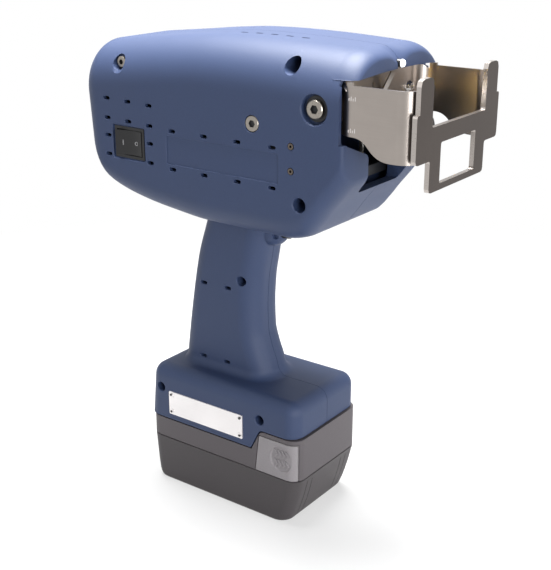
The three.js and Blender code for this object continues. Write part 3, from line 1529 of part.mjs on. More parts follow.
function latch() {
  const body = collarForm().intersect(box(latchRear, latchFront, -packHalfWidth, -packHalfWidth + latchThick,
    latchLow, latchTop));
  const ribs = Array.from({ length: latchRibs }, (_, i) => {
    const x = latchPadX + (i - (latchRibs - 1) / 2) * latchRibPitch;
    return box(x - latchRibWidth / 2, x + latchRibWidth / 2, -packHalfWidth, packHalfWidth,
      latchPadZ - latchPadRadius, latchPadZ + latchPadRadius);
  });
  const dish = barY(latchPadRadius, -packHalfWidth - overrun, -packHalfWidth + latchPadDish, latchPadX,
    latchPadZ, roundSides);
  return body.subtract(without(dish, ribs));
}

// Every piece as a named mesh
const part = new THREE.Group();

function add(name, body, material) {
  const mesh = new THREE.Mesh(geometryOf(body), material);
  mesh.name = name;
  part.add(mesh);
}

function addPair(name, body, material) {
  add(`right_${name}`, body, material);
  add(`left_${name}`, mirrored(body), material);
}

const [rightHalf, leftHalf] = housing();
add('right_half', rightHalf, paint.shell);
add('left_half', leftHalf, paint.shell);
Object.entries(caseScrews).forEach(([name, row]) => add(`case_screw_${name}`, caseScrew(row), paint.bright));
addPair('frame_screw', frameScrew(), paint.bright);
addPair('clamp_screw', clampScrew(), paint.bright);
add('insert_upper', insert(insertLevels[1]), paint.bright);
add('insert_lower', insert(insertLevels[0]), paint.bright);
add('rating_plate', ratingPlate(), paint.plate);
add('rocker_frame', rockerFrame(), paint.black);
add('rocker', rocker(), paint.black);
add('trigger', trigger(), paint.black);
add('trigger_switch', triggerSwitch(), paint.black);
add('control_panel', controlPanel(), paint.black);
add('display_window', displayWindow(), paint.glass);
add('keypad', keypad(), paint.latch);
add('control_board', controlBoard(), paint.board);
add('terminal_block', terminalBlock(), paint.black);
add('power_lead', powerLead(), paint.black);

add('guide_bracket', guideBracket(), paint.sheet);
add('contact_plate', contactPlate(), paint.ground);
addPair('guide_rail', guideRail(), paint.sheet);
addPair('guide_screw', guideScrew(), paint.bright);

add('slide_frame', slideFrame(), paint.ground);
addPair('post', post(), paint.bright);
add('lift_screw', liftScrew(), paint.bright);
add('lift_motor', liftMotor(), paint.black);
add('bridge', bridge(), paint.ground);
add('slide_rod_upper', slideRodAt(slideRodOffset), paint.bright);
add('slide_rod_lower', slideRodAt(-slideRodOffset), paint.bright);
add('cross_screw', crossScrew(), paint.bright);
add('cross_motor', crossMotor(), paint.black);
add('carriage', carriageBlock(), paint.ground);
add('coil_body', coilBody(), paint.brass);
add('end_plate_rear', endPlate(ringRearX, 0), paint.bright);
add('end_plate_front', endPlate(ringFrontX, armatureBore), paint.bright);
add('stylus_nose', stylusNose(), paint.latch);
add('stylus', stylusPin(), paint.bright);
add('lamp_bracket', lampBracket(), paint.sheet);
add('lamp_lens', lampLens(), paint.lens);

add('pack_case', packCase(), paint.pack);
add('pack_collar', packCollar(), paint.collar);
addPair('latch', latch(), paint.latch);
cells.forEach((place, i) => add(`cell_${i + 1}`, cell(place), paint.plate));

export default part;
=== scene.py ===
"""Looks of a hand-held nameplate marking machine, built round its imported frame."""
import math

import bmesh
import bpy
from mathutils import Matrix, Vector


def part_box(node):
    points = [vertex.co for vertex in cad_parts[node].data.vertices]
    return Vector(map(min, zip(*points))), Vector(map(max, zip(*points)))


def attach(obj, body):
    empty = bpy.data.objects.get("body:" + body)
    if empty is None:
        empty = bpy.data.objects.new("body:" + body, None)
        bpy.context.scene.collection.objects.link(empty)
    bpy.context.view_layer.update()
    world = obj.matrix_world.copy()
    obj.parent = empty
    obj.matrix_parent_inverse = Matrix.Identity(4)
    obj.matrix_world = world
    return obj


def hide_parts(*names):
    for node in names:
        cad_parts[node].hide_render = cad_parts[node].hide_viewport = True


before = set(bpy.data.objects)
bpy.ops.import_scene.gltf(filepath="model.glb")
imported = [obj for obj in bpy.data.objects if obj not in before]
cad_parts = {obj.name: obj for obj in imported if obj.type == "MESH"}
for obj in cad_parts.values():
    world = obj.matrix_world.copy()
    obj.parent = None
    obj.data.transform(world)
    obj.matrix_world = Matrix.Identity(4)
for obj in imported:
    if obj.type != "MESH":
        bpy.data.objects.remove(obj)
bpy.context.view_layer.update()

# The machine is in millimetres, turned to metres where a mesh is made; camera and lamps are in metres
MM = 0.001
# How far a body that cuts or joins another runs past the face between them
OVERLAP = 1

# Camera, where the photograph was taken from
CAMERA_PLACE = (0.4288, -0.5555, 0.4094)
CAMERA_AZIMUTH = 36.35
CAMERA_ELEVATION = 19.97
CAMERA_LENS = 67.45
SENSOR_WIDTH = 36

# Head of the housing; its shares run from rear to nose, and from its lowest point to its top
NOSE_FACE = 106
HEAD_LENGTH = 211
HEAD_WIDTH = 106
HEAD_BOTTOM = 210
HEAD_HEIGHT = 123.5
HEAD_TOP_ROUND = 30
HEAD_LOW_ROUND = 17
REAR_ROUND = 16
NOSE_ROUND = 2.5
WALL = 3
CORNER_STEPS = 14
RING_STEPS = 12
HEAD_STEPS = 64
REAR_STEPS = 12
HEAD_TOP_SHARES = [(0, 0.88), (0.14, 0.906), (0.25, 0.927), (0.36, 0.948), (0.5, 0.966), (0.62, 0.97),
                   (0.75, 0.967), (0.9, 0.957), (1, 0.947)]
HEAD_LOW_SHARES = [(0, 0.25), (0.04, 0.165), (0.1, 0.105), (0.2, 0.06), (0.35, 0.022), (0.5, 0),
                   (0.78, 0), (0.855, 0.03), (0.89, 0.093), (0.926, 0.175), (0.96, 0.245), (1, 0.335)]
HEAD_SIDE_SHARES = [(0, 1), (0.93, 1), (1, 0.99)]
HEAD_MIDDLE_SHARE = 0.58
LEAN_RUN_SHARE = 0.25
REAR_LEAN = 0.08
HEAD_REAR = NOSE_FACE - HEAD_LENGTH
HEAD_TOP = HEAD_BOTTOM + HEAD_HEIGHT
HEAD_MIDDLE = HEAD_BOTTOM + HEAD_HEIGHT * HEAD_MIDDLE_SHARE
SIDE_Y = HEAD_WIDTH / 2

# Visor over the marking end
VISOR_REACH = 5.5
VISOR_LIP = 312.5
VISOR_ARCH = 2
VISOR_START = 97
VISOR_DROP = 7
VISOR_CORNER_ROUND = 3
VISOR_SWEEP_SHARE = 0.93
VISOR_LEAST = 0.2
VISOR_UNDERCUT = 0.3
VISOR_ROOM = 9
VISOR_STEPS = 16
VISOR_SAMPLES = 72
DENT_DEPTH = 5.5
DENT_HALF_WIDTH = 8

# Handle and foot; the handle's shares are of its depth, and run from foot to head
GRIP_HALF_WIDTH = 18.2
GRIP_DEPTH = 60
GRIP_ROUND = 14
GRIP_FLARE = 6
GRIP_FILLET = 3
REAR_FLARE_SHARE = 0.3
GRIP_REAR_SHARES = [(0, -0.89), (0.24, -0.825), (0.43, -0.765), (0.59, -0.708), (0.72, -0.652),
                    (0.93, -0.518), (1.06, -0.435)]
GRIP_FRONT_SHARES = [(0, 0.4), (0.08, 0.36), (0.18, 0.285), (0.28, 0.235), (0.43, 0.225), (0.59, 0.242),
                     (0.72, 0.283), (0.93, 0.36), (1.06, 0.42)]
GRIP_FIT_RUN = 20
GRIP_STEPS = 40
FOOT_TOP = 92.5
FOOT_LOW = 52
FOOT_REAR = -68.5
FOOT_FRONT = 64.2
FOOT_HALF_WIDTH = 38
FOOT_ROUND = 9
FOOT_EDGE_ROUND = 1.2
FOOT_REAR_LEAN = 0.1
FOOT_STEP_X = 26.6
FOOT_STEP_RUN = 7.8
FOOT_STEP_TOP = 67.5
FOOT_STEP_ROUND = 3
STEP_CUT_LOW = 40
STEP_CUT_FRONT = 80
GRIP_HEIGHT = HEAD_BOTTOM - FOOT_TOP

# Trigger pod
POD_X = 18.5
POD_RADIUS = 10.8
POD_CENTRE_Z = 197
POD_DOME = 9.5
POD_FILLET = 2
POD_TIP_RADIUS = 0.05
TRIGGER_Z = 200


def smooth_share(rows, s, column=1):
    """A smooth value between the rows of a table that never overshoots them."""
    last = len(rows) - 1

    def slope(i):
        return (rows[i + 1][column] - rows[i][column]) / (rows[i + 1][0] - rows[i][0])

    def tangent(i):
        if i in (0, last):
            return slope(0 if i == 0 else last - 1)
        a, b = slope(i - 1), slope(i)
        return 0 if a * b <= 0 else 2 * a * b / (a + b)

    i = next((k for k in range(last) if s <= rows[k + 1][0]), last - 1)
    run = rows[i + 1][0] - rows[i][0]
    t = min(1, max(0, (s - rows[i][0]) / run))
    p, q = rows[i][column], rows[i + 1][column]
    m, n = tangent(i) * run, tangent(i + 1) * run
    return p + t * (m + t * (3 * (q - p) - 2 * m - n + t * (2 * (p - q) + m + n)))


def head_top_at(x):
    return HEAD_BOTTOM + HEAD_HEIGHT * smooth_share(HEAD_TOP_SHARES, (x - HEAD_REAR) / HEAD_LENGTH)


def head_low_at(x):
    return HEAD_BOTTOM + HEAD_HEIGHT * smooth_share(HEAD_LOW_SHARES, (x - HEAD_REAR) / HEAD_LENGTH)


def head_side_at(x):
    return SIDE_Y * smooth_share(HEAD_SIDE_SHARES, (x - HEAD_REAR) / HEAD_LENGTH)


def lean_at(x, z):
    """How far the rear leans ahead at a height, fading out along the head."""
    rearward = max(0, min(1, 1 - (x - HEAD_REAR) / (HEAD_LENGTH * LEAN_RUN_SHARE)))
    return -REAR_LEAN * (z - HEAD_MIDDLE) * rearward


def head_place(share):
    """A place on the head's side from its shares of length and height."""
    return HEAD_REAR + HEAD_LENGTH * share[0], HEAD_BOTTOM + HEAD_HEIGHT * share[1]


def grip_place(share):
    """A place on the handle's side from its shares of depth and height."""
    return GRIP_DEPTH * share[0], FOOT_TOP + GRIP_HEIGHT * share[1]


# Meshes: every maker returns an object, and lengths are in millimetres
def new_object(name, data):
    """An object in the scene, of a mesh, a lamp or a camera."""
    body = bpy.data.objects.new(name, data)
    bpy.context.scene.collection.objects.link(body)
    return body


def mesh_object(name, points, faces):
    mesh = bpy.data.meshes.new(name)
    mesh.from_pydata([Vector(p) * MM for p in points], [], faces)
    mesh.validate()
    return new_object(name, mesh)


def loft(name, rings):
    """A closed body through a row of rings with equal counts."""
    count = len(rings[0])
    points = [p for row in rings for p in row]
    faces = []
    for k in range(len(rings) - 1):
        for i in range(count):
            j = (i + 1) % count
            faces.append((k * count + i, k * count + j, (k + 1) * count + j, (k + 1) * count + i))
    faces.append(tuple(reversed(range(count))))
    faces.append(tuple(range(len(points) - count, len(points))))
    body = mesh_object(name, points, faces)
    face_outwards(body)
    return body


def face_outwards(body):
    work = bmesh.new()
    work.from_mesh(body.data)
    bmesh.ops.recalc_face_normals(work, faces=work.faces)
    work.to_mesh(body.data)
    work.free()


def ring(u0, u1, v0, v1, radii, steps, place):
    """Points round a rectangle with rounded corners, anticlockwise from the corner at u1, v1."""
    points = []
    corners = [(u1, v1, radii[0]), (u0, v1, radii[1]), (u0, v0, radii[2]), (u1, v0, radii[3])]
    for corner, (u, v, radius) in enumerate(corners):
        side_u = 1 if u == u1 else -1
        side_v = 1 if v == v1 else -1
        for k in range(steps + 1):
            angle = (corner + k / steps) * math.pi / 2
            points.append(place(u - side_u * radius + radius * math.cos(angle),
                                v - side_v * radius + radius * math.sin(angle)))
    return points


def level_ring(rear, front, half, radius, z):
    """A level ring as wide to the right as to the left, with four alike corners."""
    return ring(rear, front, -half, half, (radius,) * 4, RING_STEPS, lambda x, y: (x, y, z))


def quarter(steps):
    """Sine and cosine at the even steps of a quarter turn, with both ends."""
    angles = [k / steps * math.pi / 2 for k in range(steps + 1)]
    return [(math.sin(angle), math.cos(angle)) for angle in angles]


def outline(corners, steps=6):
    """A corner list (u, v, radius) as a polygon with rounded corners."""
    points = []
    count = len(corners)
    for i, corner in enumerate(corners):
        here = Vector(corner[:2])
        radius = corner[2] if len(corner) > 2 else 0
        if radius == 0:
            points.append(tuple(here))
            continue
        before = Vector(corners[i - 1][:2]) - here
        after = Vector(corners[(i + 1) % count][:2]) - here
        start = here + before.normalized() * radius
        end = here + after.normalized() * radius
        for k in range(steps + 1):
            t = k / steps
            points.append(tuple(start * (1 - t) ** 2 + here * 2 * t * (1 - t) + end * t * t))
    return points


def rectangle(u0, u1, v0, v1, radius=0):
    return outline([(u0, v0, radius), (u1, v0, radius), (u1, v1, radius), (u0, v1, radius)])


def prism(name, shape, axis, low, high):
    """A prism of a polygon: axis X takes (y, z) points, Y takes (x, z) and Z takes (x, y)."""
    place = {
        "X": lambda u, v, w: (w, u, v),
        "Y": lambda u, v, w: (u, w, v),
        "Z": lambda u, v, w: (u, v, w),
    }[axis]
    return loft(name, [[place(u, v, w) for u, v in shape] for w in (low, high)])


def block(name, x, y, z):
    """A block from its spans along, across and up."""
    return prism(name, rectangle(*x, *y), "Z", *z)


def turned(name, profile, axis, centre, sides=48):
    """A turned body from rows (along, radius); axis X is centred on (y, z), Y on (x, z), Z on (x, y)."""
    place = {
        "X": lambda a, u, v: (a, centre[0] + u, centre[1] + v),
        "Y": lambda a, u, v: (centre[0] + u, a, centre[1] + v),
        "Z": lambda a, u, v: (centre[0] + u, centre[1] + v, a),
    }[axis]
    turn = 2 * math.pi / sides
    return loft(name, [[place(a, r * math.cos(turn * i), r * math.sin(turn * i)) for i in range(sides)]
                       for a, r in profile])


def bar(name, radius, axis, low, high, centre, sides=32):
    """A round bar along an axis."""
    return turned(name, [(low, radius), (high, radius)], axis, centre, sides)


def evaluated(body):
    """The same object with its modifiers applied."""
    graph = bpy.context.evaluated_depsgraph_get()
    mesh = bpy.data.meshes.new_from_object(body.evaluated_get(graph))
    body.modifiers.clear()
    body.data = mesh
    return body


def combine(body, other, operation):
    """Joins, cuts or crosses a body with another one, which is used up."""
    step = body.modifiers.new("combine", "BOOLEAN")
    step.operation = operation
    step.solver = "MANIFOLD"
    step.object = other
    evaluated(body)
    bpy.data.objects.remove(other)
    return body


def union(bodies):
    """The first body, joined with the others."""
    first = bodies[0]
    for other in bodies[1:]:
        combine(first, other, "UNION")
    return first


def cut_away(body, cuts):
    for cut in cuts:
        combine(body, cut, "DIFFERENCE")
    return body


def joined(name, bodies):
    """One object from bodies that don't touch."""
    work = bmesh.new()
    for body in bodies:
        work.from_mesh(body.data)
        bpy.data.objects.remove(body)
    mesh = bpy.data.meshes.new(name)
    work.to_mesh(mesh)
    work.free()
    return new_object(name, mesh)


def copy_of(body, name):
    return new_object(name, body.data.copy())


def mirrored(body, name):
    """A copy of a body on the other side of the machine."""
    twin = copy_of(body, name)
    for vertex in twin.data.vertices:
        vertex.co.y = -vertex.co.y
    twin.data.flip_normals()
    return twin


def both_sides(body):
    """A body of the right side and its mirror image."""
    return [body, mirrored(body, body.name + "_left")]


def smooth_faces(body, angle):
    body.data.shade_smooth()
    body.data.set_sharp_from_angle(angle=math.radians(angle))


# Materials
def surface_group(name, inputs):
    """A shader node group from colour, roughness and more inputs to colour, roughness and height."""
    group = bpy.data.node_groups.new(name, "ShaderNodeTree")
    inputs = [("Colour", "Color", (0.5, 0.5, 0.5, 1)), ("Roughness", "Float", 0.5), *inputs]
    for label, kind, default in inputs:
        socket = group.interface.new_socket(name=label, in_out="INPUT", socket_type="NodeSocket" + kind)
        socket.default_value = default
    for label, kind in (("Colour", "Color"), ("Roughness", "Float"), ("Height", "Float")):
        group.interface.new_socket(name=label, in_out="OUTPUT", socket_type="NodeSocket" + kind)
    return group, group.nodes.new("NodeGroupInput"), group.nodes.new("NodeGroupOutput")


def feed(tree, node, inputs):
    """Gives a node's inputs their values, or links them to the sockets that they follow."""
    for label, value in inputs.items():
        if isinstance(value, bpy.types.NodeSocket):
            tree.links.new(value, node.inputs[label])
        else:
            node.inputs[label].default_value = value


def add_node(tree, kind, inputs, operation=None):
    node = tree.nodes.new("ShaderNode" + kind)
    if operation:
        node.operation = operation
    feed(tree, node, inputs)
    return node


def noise(tree, place, scale, detail, roughness):
    inputs = {"Vector": place, "Scale": scale, "Detail": detail, "Roughness": roughness}
    return add_node(tree, "TexNoise", inputs).outputs["Fac"]


def calc(tree, operation, a, b):
    return add_node(tree, "Math", {0: a, 1: b}, operation).outputs[0]


def span(tree, value, low, high, to_low=0.0, to_high=1.0):
    """Maps a value from one range to another and holds it there."""
    inputs = {"Value": value, "From Min": low, "From Max": high, "To Min": to_low, "To Max": to_high}
    return add_node(tree, "MapRange", inputs).outputs["Result"]


def shade(tree, colour, factor):
    """A colour times a grey factor."""
    return add_node(tree, "VectorMath", {0: colour, "Scale": factor}, "SCALE").outputs["Vector"]


def object_place(tree, stretch=(1, 1, 1)):
    """The place on the piece, stretched along its axes."""
    place = add_node(tree, "TexCoord", {}).outputs["Object"]
    return add_node(tree, "Mapping", {"Vector": place, "Scale": stretch}).outputs["Vector"]


def swing_of(group, texture, strength):
    """A texture as a swing round zero of the given strength."""
    return calc(group, "MULTIPLY", calc(group, "SUBTRACT", texture, 0.5), strength)


def put_out(group, ends, out, swing, mottle, rough_share, height):
    """Colour and roughness of a surface follow its swing, and the colour its mottle too."""
    factor = calc(group, "ADD", calc(group, "ADD", swing, mottle), 1.0)
    rough = calc(group, "ADD", ends.outputs["Roughness"], calc(group, "MULTIPLY", swing, rough_share))
    feed(group, out, {"Colour": shade(group, ends.outputs["Colour"], factor), "Roughness": rough,
                      "Height": height})
    return group


def moulding_group():
    """Spark-eroded grain of a moulded surface, with faint handling patches."""
    group, ends, out = surface_group("moulded_surface", [("Grain Scale", "Float", 1600.0),
                                                         ("Patchiness", "Float", 0.1)])
    place = object_place(group)
    grain = noise(group, place, ends.outputs["Grain Scale"], 3, 0.6)
    patches = swing_of(group, noise(group, place, 22, 3, 0.55), ends.outputs["Patchiness"])
    return put_out(group, ends, out, patches, span(group, grain, 0.3, 0.7, -0.06, 0.06), 0.8, grain)


def brushed_group():
    """Brushed or rolled grain of sheet metal, stretched along one direction, with soft stains."""
    group, ends, out = surface_group("brushed_surface", [("Stretch", "Vector", (1, 1, 1)),
                                                         ("Contrast", "Float", 0.1)])
    lines = noise(group, object_place(group, ends.outputs["Stretch"]), 900, 4, 0.65)
    stains = noise(group, object_place(group), 35, 3, 0.5)
    swing = swing_of(group, lines, ends.outputs["Contrast"])
    return put_out(group, ends, out, swing, span(group, stains, 0.3, 0.7, -0.05, 0.05), 0.6, lines)


MOULDED = moulding_group()
BRUSHED = brushed_group()


METAL_SPECULAR = 0.5
MOULDED_SPECULAR = 0.42


def surface(name, group, values, metallic=0.0, bump=0.1, bump_depth=0.0001, coat=0.0):
    """A principled material whose colour, roughness and relief come from a surface group."""
    material = bpy.data.materials.new(name)
    material.use_nodes = True
    tree = material.node_tree
    effect = tree.nodes.new("ShaderNodeGroup")
    effect.node_tree = group
    feed(tree, effect, values)
    relief = add_node(tree, "Bump", {"Strength": bump, "Distance": bump_depth,
                                     "Height": effect.outputs["Height"]})
    feed(tree, tree.nodes["Principled BSDF"], {
        "Metallic": metallic, "Coat Weight": coat,
        "Specular IOR Level": METAL_SPECULAR if metallic else MOULDED_SPECULAR,
        "Base Color": effect.outputs["Colour"], "Roughness": effect.outputs["Roughness"],
        "Normal": relief.outputs["Normal"]})
    return material


def moulded(name, colour, roughness=0.6, grain=1600.0, patchiness=0.1, bump=0.25, coat=0.0):
    return surface(name, MOULDED, {"Colour": (*colour, 1), "Roughness": roughness, "Grain Scale": grain,
                                   "Patchiness": patchiness}, bump=bump, coat=coat)


def metal(name, colour, roughness=0.3, stretch=(1, 1, 1), contrast=0.1, bump=0.08):
    return surface(name, BRUSHED, {"Colour": (*colour, 1), "Roughness": roughness, "Stretch": stretch,
                                   "Contrast": contrast}, metallic=1.0, bump=bump, bump_depth=0.00005)


# Moulded finishes have colour, roughness, grain, patchiness and bump; metals have colour, roughness, stretch
# of the grain, contrast and bump
NAVY = moulded("navy_moulding", (0.032, 0.052, 0.12), 0.55, 1500, 0.12, 0.35)
PACK_GREY = moulded("pack_moulding", (0.066, 0.059, 0.063), 0.55, 1500, 0.12, 0.3)
COLLAR_GREY = moulded("collar_moulding", (0.105, 0.094, 0.102), 0.55, 1500, 0.1, 0.3)
LATCH_GREY = moulded("latch_moulding", (0.31, 0.29, 0.305), 0.5, 1700, 0.08, 0.25)
# Black moulding; the screws also use it as painted shade in their sockets and round the clamp screws' heads
BLACK = moulded("black_moulding_and_painted_shade", (0.014, 0.014, 0.016), 0.5, 1800, 0.1, 0.2)
SWITCH_BLACK = moulded("switch_moulding", (0.006, 0.006, 0.007), 0.4, 2400, 0.1, 0.15)
STEEL = metal("brushed_stainless", (0.34, 0.305, 0.28), 0.3, (0.05, 0.05, 1.8), 0.1, 0.015)
# Contact face: satin steel whose dark colour is a painted dark reflection
PAINTED_DARK_FACE_STEEL = metal("satin_contact_face_painted_dark", (0.078, 0.064, 0.057), 0.38, (1, 1, 0.08), 0.35, 0.03)
# Brighter steel for cut edges and rounds: a painted highlight where they catch the lamps
EDGE_HIGHLIGHT_STEEL = metal("painted_highlight_edge", (0.42, 0.385, 0.36), 0.28, (1, 1, 1), 0.1, 0.02)
BRIGHT = metal("bright_plated_steel", (0.62, 0.60, 0.58), 0.22, (1, 1, 1), 0.08)
MACHINED = metal("black_anodised_aluminium", (0.05, 0.05, 0.053), 0.38, (1, 0.1, 1), 0.12)
INSERT_METAL = metal("dark_threaded_insert", (0.12, 0.1, 0.085), 0.4, (1, 1, 1), 0.1)
SCREW_STEEL = metal("worn_screw_steel", (0.3, 0.275, 0.245), 0.3, (1, 1, 1), 0.3)
NOSE_METAL = metal("blasted_aluminium", (0.56, 0.55, 0.54), 0.4, (1, 1, 1), 0.12)
BRASS = metal("yellow_winding", (0.72, 0.50, 0.12), 0.3, (4, 0.1, 0.1), 0.3)
PLATE = metal("bare_aluminium_plate", (0.72, 0.70, 0.70), 0.5, (0.05, 1, 2), 0.08)
MOTOR = moulded("motor_enamel", (0.02, 0.02, 0.022), 0.35, 900, 0.1, 0.1)
BOARD = moulded("circuit_board", (0.02, 0.10, 0.05), 0.4, 700, 0.3, 0.1)
KEYS = moulded("key_membrane", (0.22, 0.23, 0.25), 0.5, 2500, 0.08, 0.1)
CELL = moulded("cell_sleeve", (0.12, 0.26, 0.42), 0.35, 700, 0.1, 0.05)
WHITE_MARK = moulded("pale_marking", (0.3, 0.3, 0.31), 0.5, 2500, 0.1, 0.05)


def lens_material():
    """Clear lens, lit from inside by its lamp."""
    material = moulded("lit_lens", (0.9, 0.94, 1.0), 0.15, 300, 0.05, 0.0)
    feed(material.node_tree, material.node_tree.nodes["Principled BSDF"],
         {"Emission Color": (0.86, 0.92, 1.0, 1), "Emission Strength": 1.6})
    return material


PANE = moulded("tinted_pane", (0.03, 0.045, 0.04), 0.12, 300, 0.2, 0.0, coat=0.6)
LENS = lens_material()


def dress(body, material, rider, replaces=(), angle=32):
    """Gives a piece its material, shading, body and the nodes that it stands for."""
    body.data.materials.clear()
    body.data.materials.append(material)
    smooth_faces(body, angle)
    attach(body, rider)
    if replaces:
        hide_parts(*replaces)
    return body


# Forms of the housing; the inset makes the same form smaller all round, for the hollow
def head_form(name, inset):
    """The head, through sections that follow its top, underside and sides."""
    rear, front = HEAD_REAR + inset, NOSE_FACE - inset
    rear_round = REAR_ROUND - inset
    start, end = rear + rear_round, front - NOSE_ROUND
    stations = [(rear + rear_round * (1 - cos), rear_round * (1 - sin))
                for sin, cos in quarter(REAR_STEPS)[:-1]]
    stations += [(start + (end - start) * k / HEAD_STEPS, 0) for k in range(HEAD_STEPS + 1)]
    stations += [(front - NOSE_ROUND * (1 - sin), NOSE_ROUND * (1 - cos)) for sin, cos in quarter(4)[1:]]
    rings = []
    for x, shrink in stations:
        trim = inset + shrink
        side = head_side_at(x) - trim
        top, low = HEAD_TOP_ROUND - inset - shrink / 2, HEAD_LOW_ROUND - inset
        rings.append(ring(-side, side, head_low_at(x) + trim, head_top_at(x) - trim, (top, top, low, low),
                          CORNER_STEPS, lambda y, z: (x + lean_at(x, z), y, z)))
    return loft(name, rings)


def visor_form(name, inset, low):
    """The hood: sections of the head that roll down at the front, with a dent for the lamp in the middle."""
    reach = NOSE_FACE + VISOR_REACH - inset
    top = head_top_at(VISOR_START)
    middle = top - HEAD_TOP_ROUND
    rings = []
    for k in range(-1, VISOR_STEPS + 1):
        angle = max(0, k) / VISOR_STEPS * VISOR_SWEEP_SHARE * math.pi / 2
        x = VISOR_START + (reach - VISOR_START) * math.sin(angle) - (OVERLAP if k < 0 else 0)
        side = head_side_at(VISOR_START) - inset - VISOR_CORNER_ROUND * (1 - math.cos(angle))
        high = top - inset - VISOR_DROP * (1 - math.cos(angle))
        flat = side - HEAD_TOP_ROUND + inset
        edge = flat + (side - flat) * math.sqrt(1 - ((low - middle) / (high - middle)) ** 2)
        run = max(0, min(1, (x - VISOR_START) / (reach - VISOR_START)))
        points = []
        for i in range(VISOR_SAMPLES + 1):
            y = edge * math.cos(i / VISOR_SAMPLES * math.pi)
            over = max(0, (abs(y) - flat) / (side - flat))
            z = middle + (high - middle) * math.sqrt(max(0, 1 - over * over))
            z -= DENT_DEPTH * run * run * math.exp(-(y / DENT_HALF_WIDTH) ** 2)
            points.append((x, y, max(z, low + VISOR_LEAST)))
        points += [(x, -edge, low), (x, edge, low)]
        rings.append(points)
    return loft(name, rings)


def round_in(distance, radius):
    """How far a round of this radius stands out at a distance from its face."""
    if distance >= radius:
        return 0
    return radius - math.sqrt(radius * radius - (radius - distance) ** 2)


def grip_form(name, inset):
    """The handle, flared onto the foot and fitted to the underside of the head."""
    foot_bend, head_bend = FOOT_TOP + GRIP_FLARE, HEAD_BOTTOM - GRIP_FILLET
    heights = [FOOT_TOP - GRIP_FLARE] + [FOOT_TOP + GRIP_FLARE * (1 - cos) for _, cos in quarter(8)[:-1]]
    heights += [foot_bend + (head_bend - foot_bend) * k / GRIP_STEPS for k in range(GRIP_STEPS + 1)]
    heights += [head_bend + GRIP_FILLET * sin for sin, _ in quarter(5)[1:]] + [HEAD_BOTTOM + GRIP_FLARE]
    rings = []
    for z in heights:
        flare = round_in(max(0, z - FOOT_TOP), GRIP_FLARE)
        fillet = round_in(max(0, HEAD_BOTTOM - z), GRIP_FILLET)
        half = GRIP_HALF_WIDTH + flare + fillet - inset
        share = (z - FOOT_TOP) / GRIP_HEIGHT
        rear = GRIP_DEPTH * smooth_share(GRIP_REAR_SHARES, share) - flare * REAR_FLARE_SHARE - fillet + inset
        front = GRIP_DEPTH * smooth_share(GRIP_FRONT_SHARES, share) + flare + fillet - inset
        radius = GRIP_ROUND + flare + fillet - inset
        fit = max(0, min(1, 1 - (HEAD_BOTTOM - z) / GRIP_FIT_RUN))
        rings.append(ring(rear, front, -half, half, (radius,) * 4, CORNER_STEPS,
                          lambda x, y: (x, y, z + fit * fit * (head_low_at(x) - HEAD_BOTTOM))))
    return loft(name, rings)


def foot_form(name, inset, low):
    """The foot, rounded above, its rear leaning a little."""
    foot_round = FOOT_ROUND - inset
    stations = [(low, 0)]
    stations += [(FOOT_TOP - inset - foot_round * (1 - sin), foot_round * (1 - cos))
                 for sin, cos in quarter(8)]
    rings = []
    for z, shrink in stations:
        trim = inset + shrink
        rear = FOOT_REAR + FOOT_REAR_LEAN * (z - FOOT_LOW) + trim
        radius = FOOT_EDGE_ROUND + FOOT_ROUND - trim
        rings.append(level_ring(rear, FOOT_FRONT - trim, FOOT_HALF_WIDTH - trim, radius, z))
    return loft(name, rings)


def pod_form(name, inset):
    """The trigger's pod: a dome below, and a small fillet to the head above."""
    radius = POD_RADIUS - inset
    profile = [(POD_CENTRE_Z - (POD_DOME - inset) * sin, max(POD_TIP_RADIUS, radius * cos))
               for sin, cos in reversed(quarter(8))]
    profile += [(HEAD_BOTTOM - POD_FILLET * (1 - sin), radius + POD_FILLET * (1 - cos))
                for sin, cos in quarter(5)]
    profile.append((HEAD_BOTTOM + WALL + 2, radius + POD_FILLET))
    return turned(name, profile, "Z", (POD_X, 0), 40)


def step_cut(name, grow):
    """What the foot leaves to the collar at its front."""
    rear, top = FOOT_STEP_X - grow, FOOT_STEP_TOP + grow
    shape = outline([(rear, STEP_CUT_LOW), (rear, FOOT_LOW), (rear + FOOT_STEP_RUN, top, FOOT_STEP_ROUND),
                     (STEP_CUT_FRONT, top), (STEP_CUT_FRONT, STEP_CUT_LOW)], 8)
    return prism(name, shape, "Y", -HEAD_WIDTH, HEAD_WIDTH)


# Openings of the housing
THROAT_DEPTH = 15
THROAT_WALL = 2
THROAT_CORNERS = [(50, VISOR_LIP), (50, 276), (41, 272.5), (24, 266), (24, 241.5)]
THROAT_ROUND = 3.5
THROAT_SHOULDER = 45
THROAT_SLOPE = 1.25
THROAT_EDGE = 101.2
THROAT_LAP = 0.01
THROAT_FRONT = 166
LAMP_SLOT = ((NOSE_FACE, 152), (-2.9, 2.9), (276, 319.6))
NOSE_SETBACK = 3
# Each case screw's place along and up, bore, depth of its seat and of its mouth, and chamfer of its mouth
CASE_SCREWS = {
    "rear_top": (-71.03, 308.0, 5.2, 43.5, 51.5, 1.6),
    "nose_top": (66.54, 317.6, 5.2, 30, 51, 0.4),
    "nose_low": (76.04, 236.49, 4.5, 34, 53, 0.7),
    "grip": (3.9, 163.02, 3.5, 8, 18.2, 0.5),
    "foot_rear": (-55.3, 75.31, 3.5, 26, 38, 0.6),
    "foot_front": (34.0, 74.81, 3.5, 26, 38, 0.6),
}
SCREW_HEAD_SHARE = 0.7
SCREW_SOCKET_SHARE = 0.5
SCREW_HEAD_HEIGHT = 3.2
SCREW_SOCKET_DEPTH = 1.8
SCREW_SHANK = 1.8
SCREW_LENGTH = 16
BOSS_WALL = 2
SCREW_HOLE = 2.1
SCREW_BITE = 10
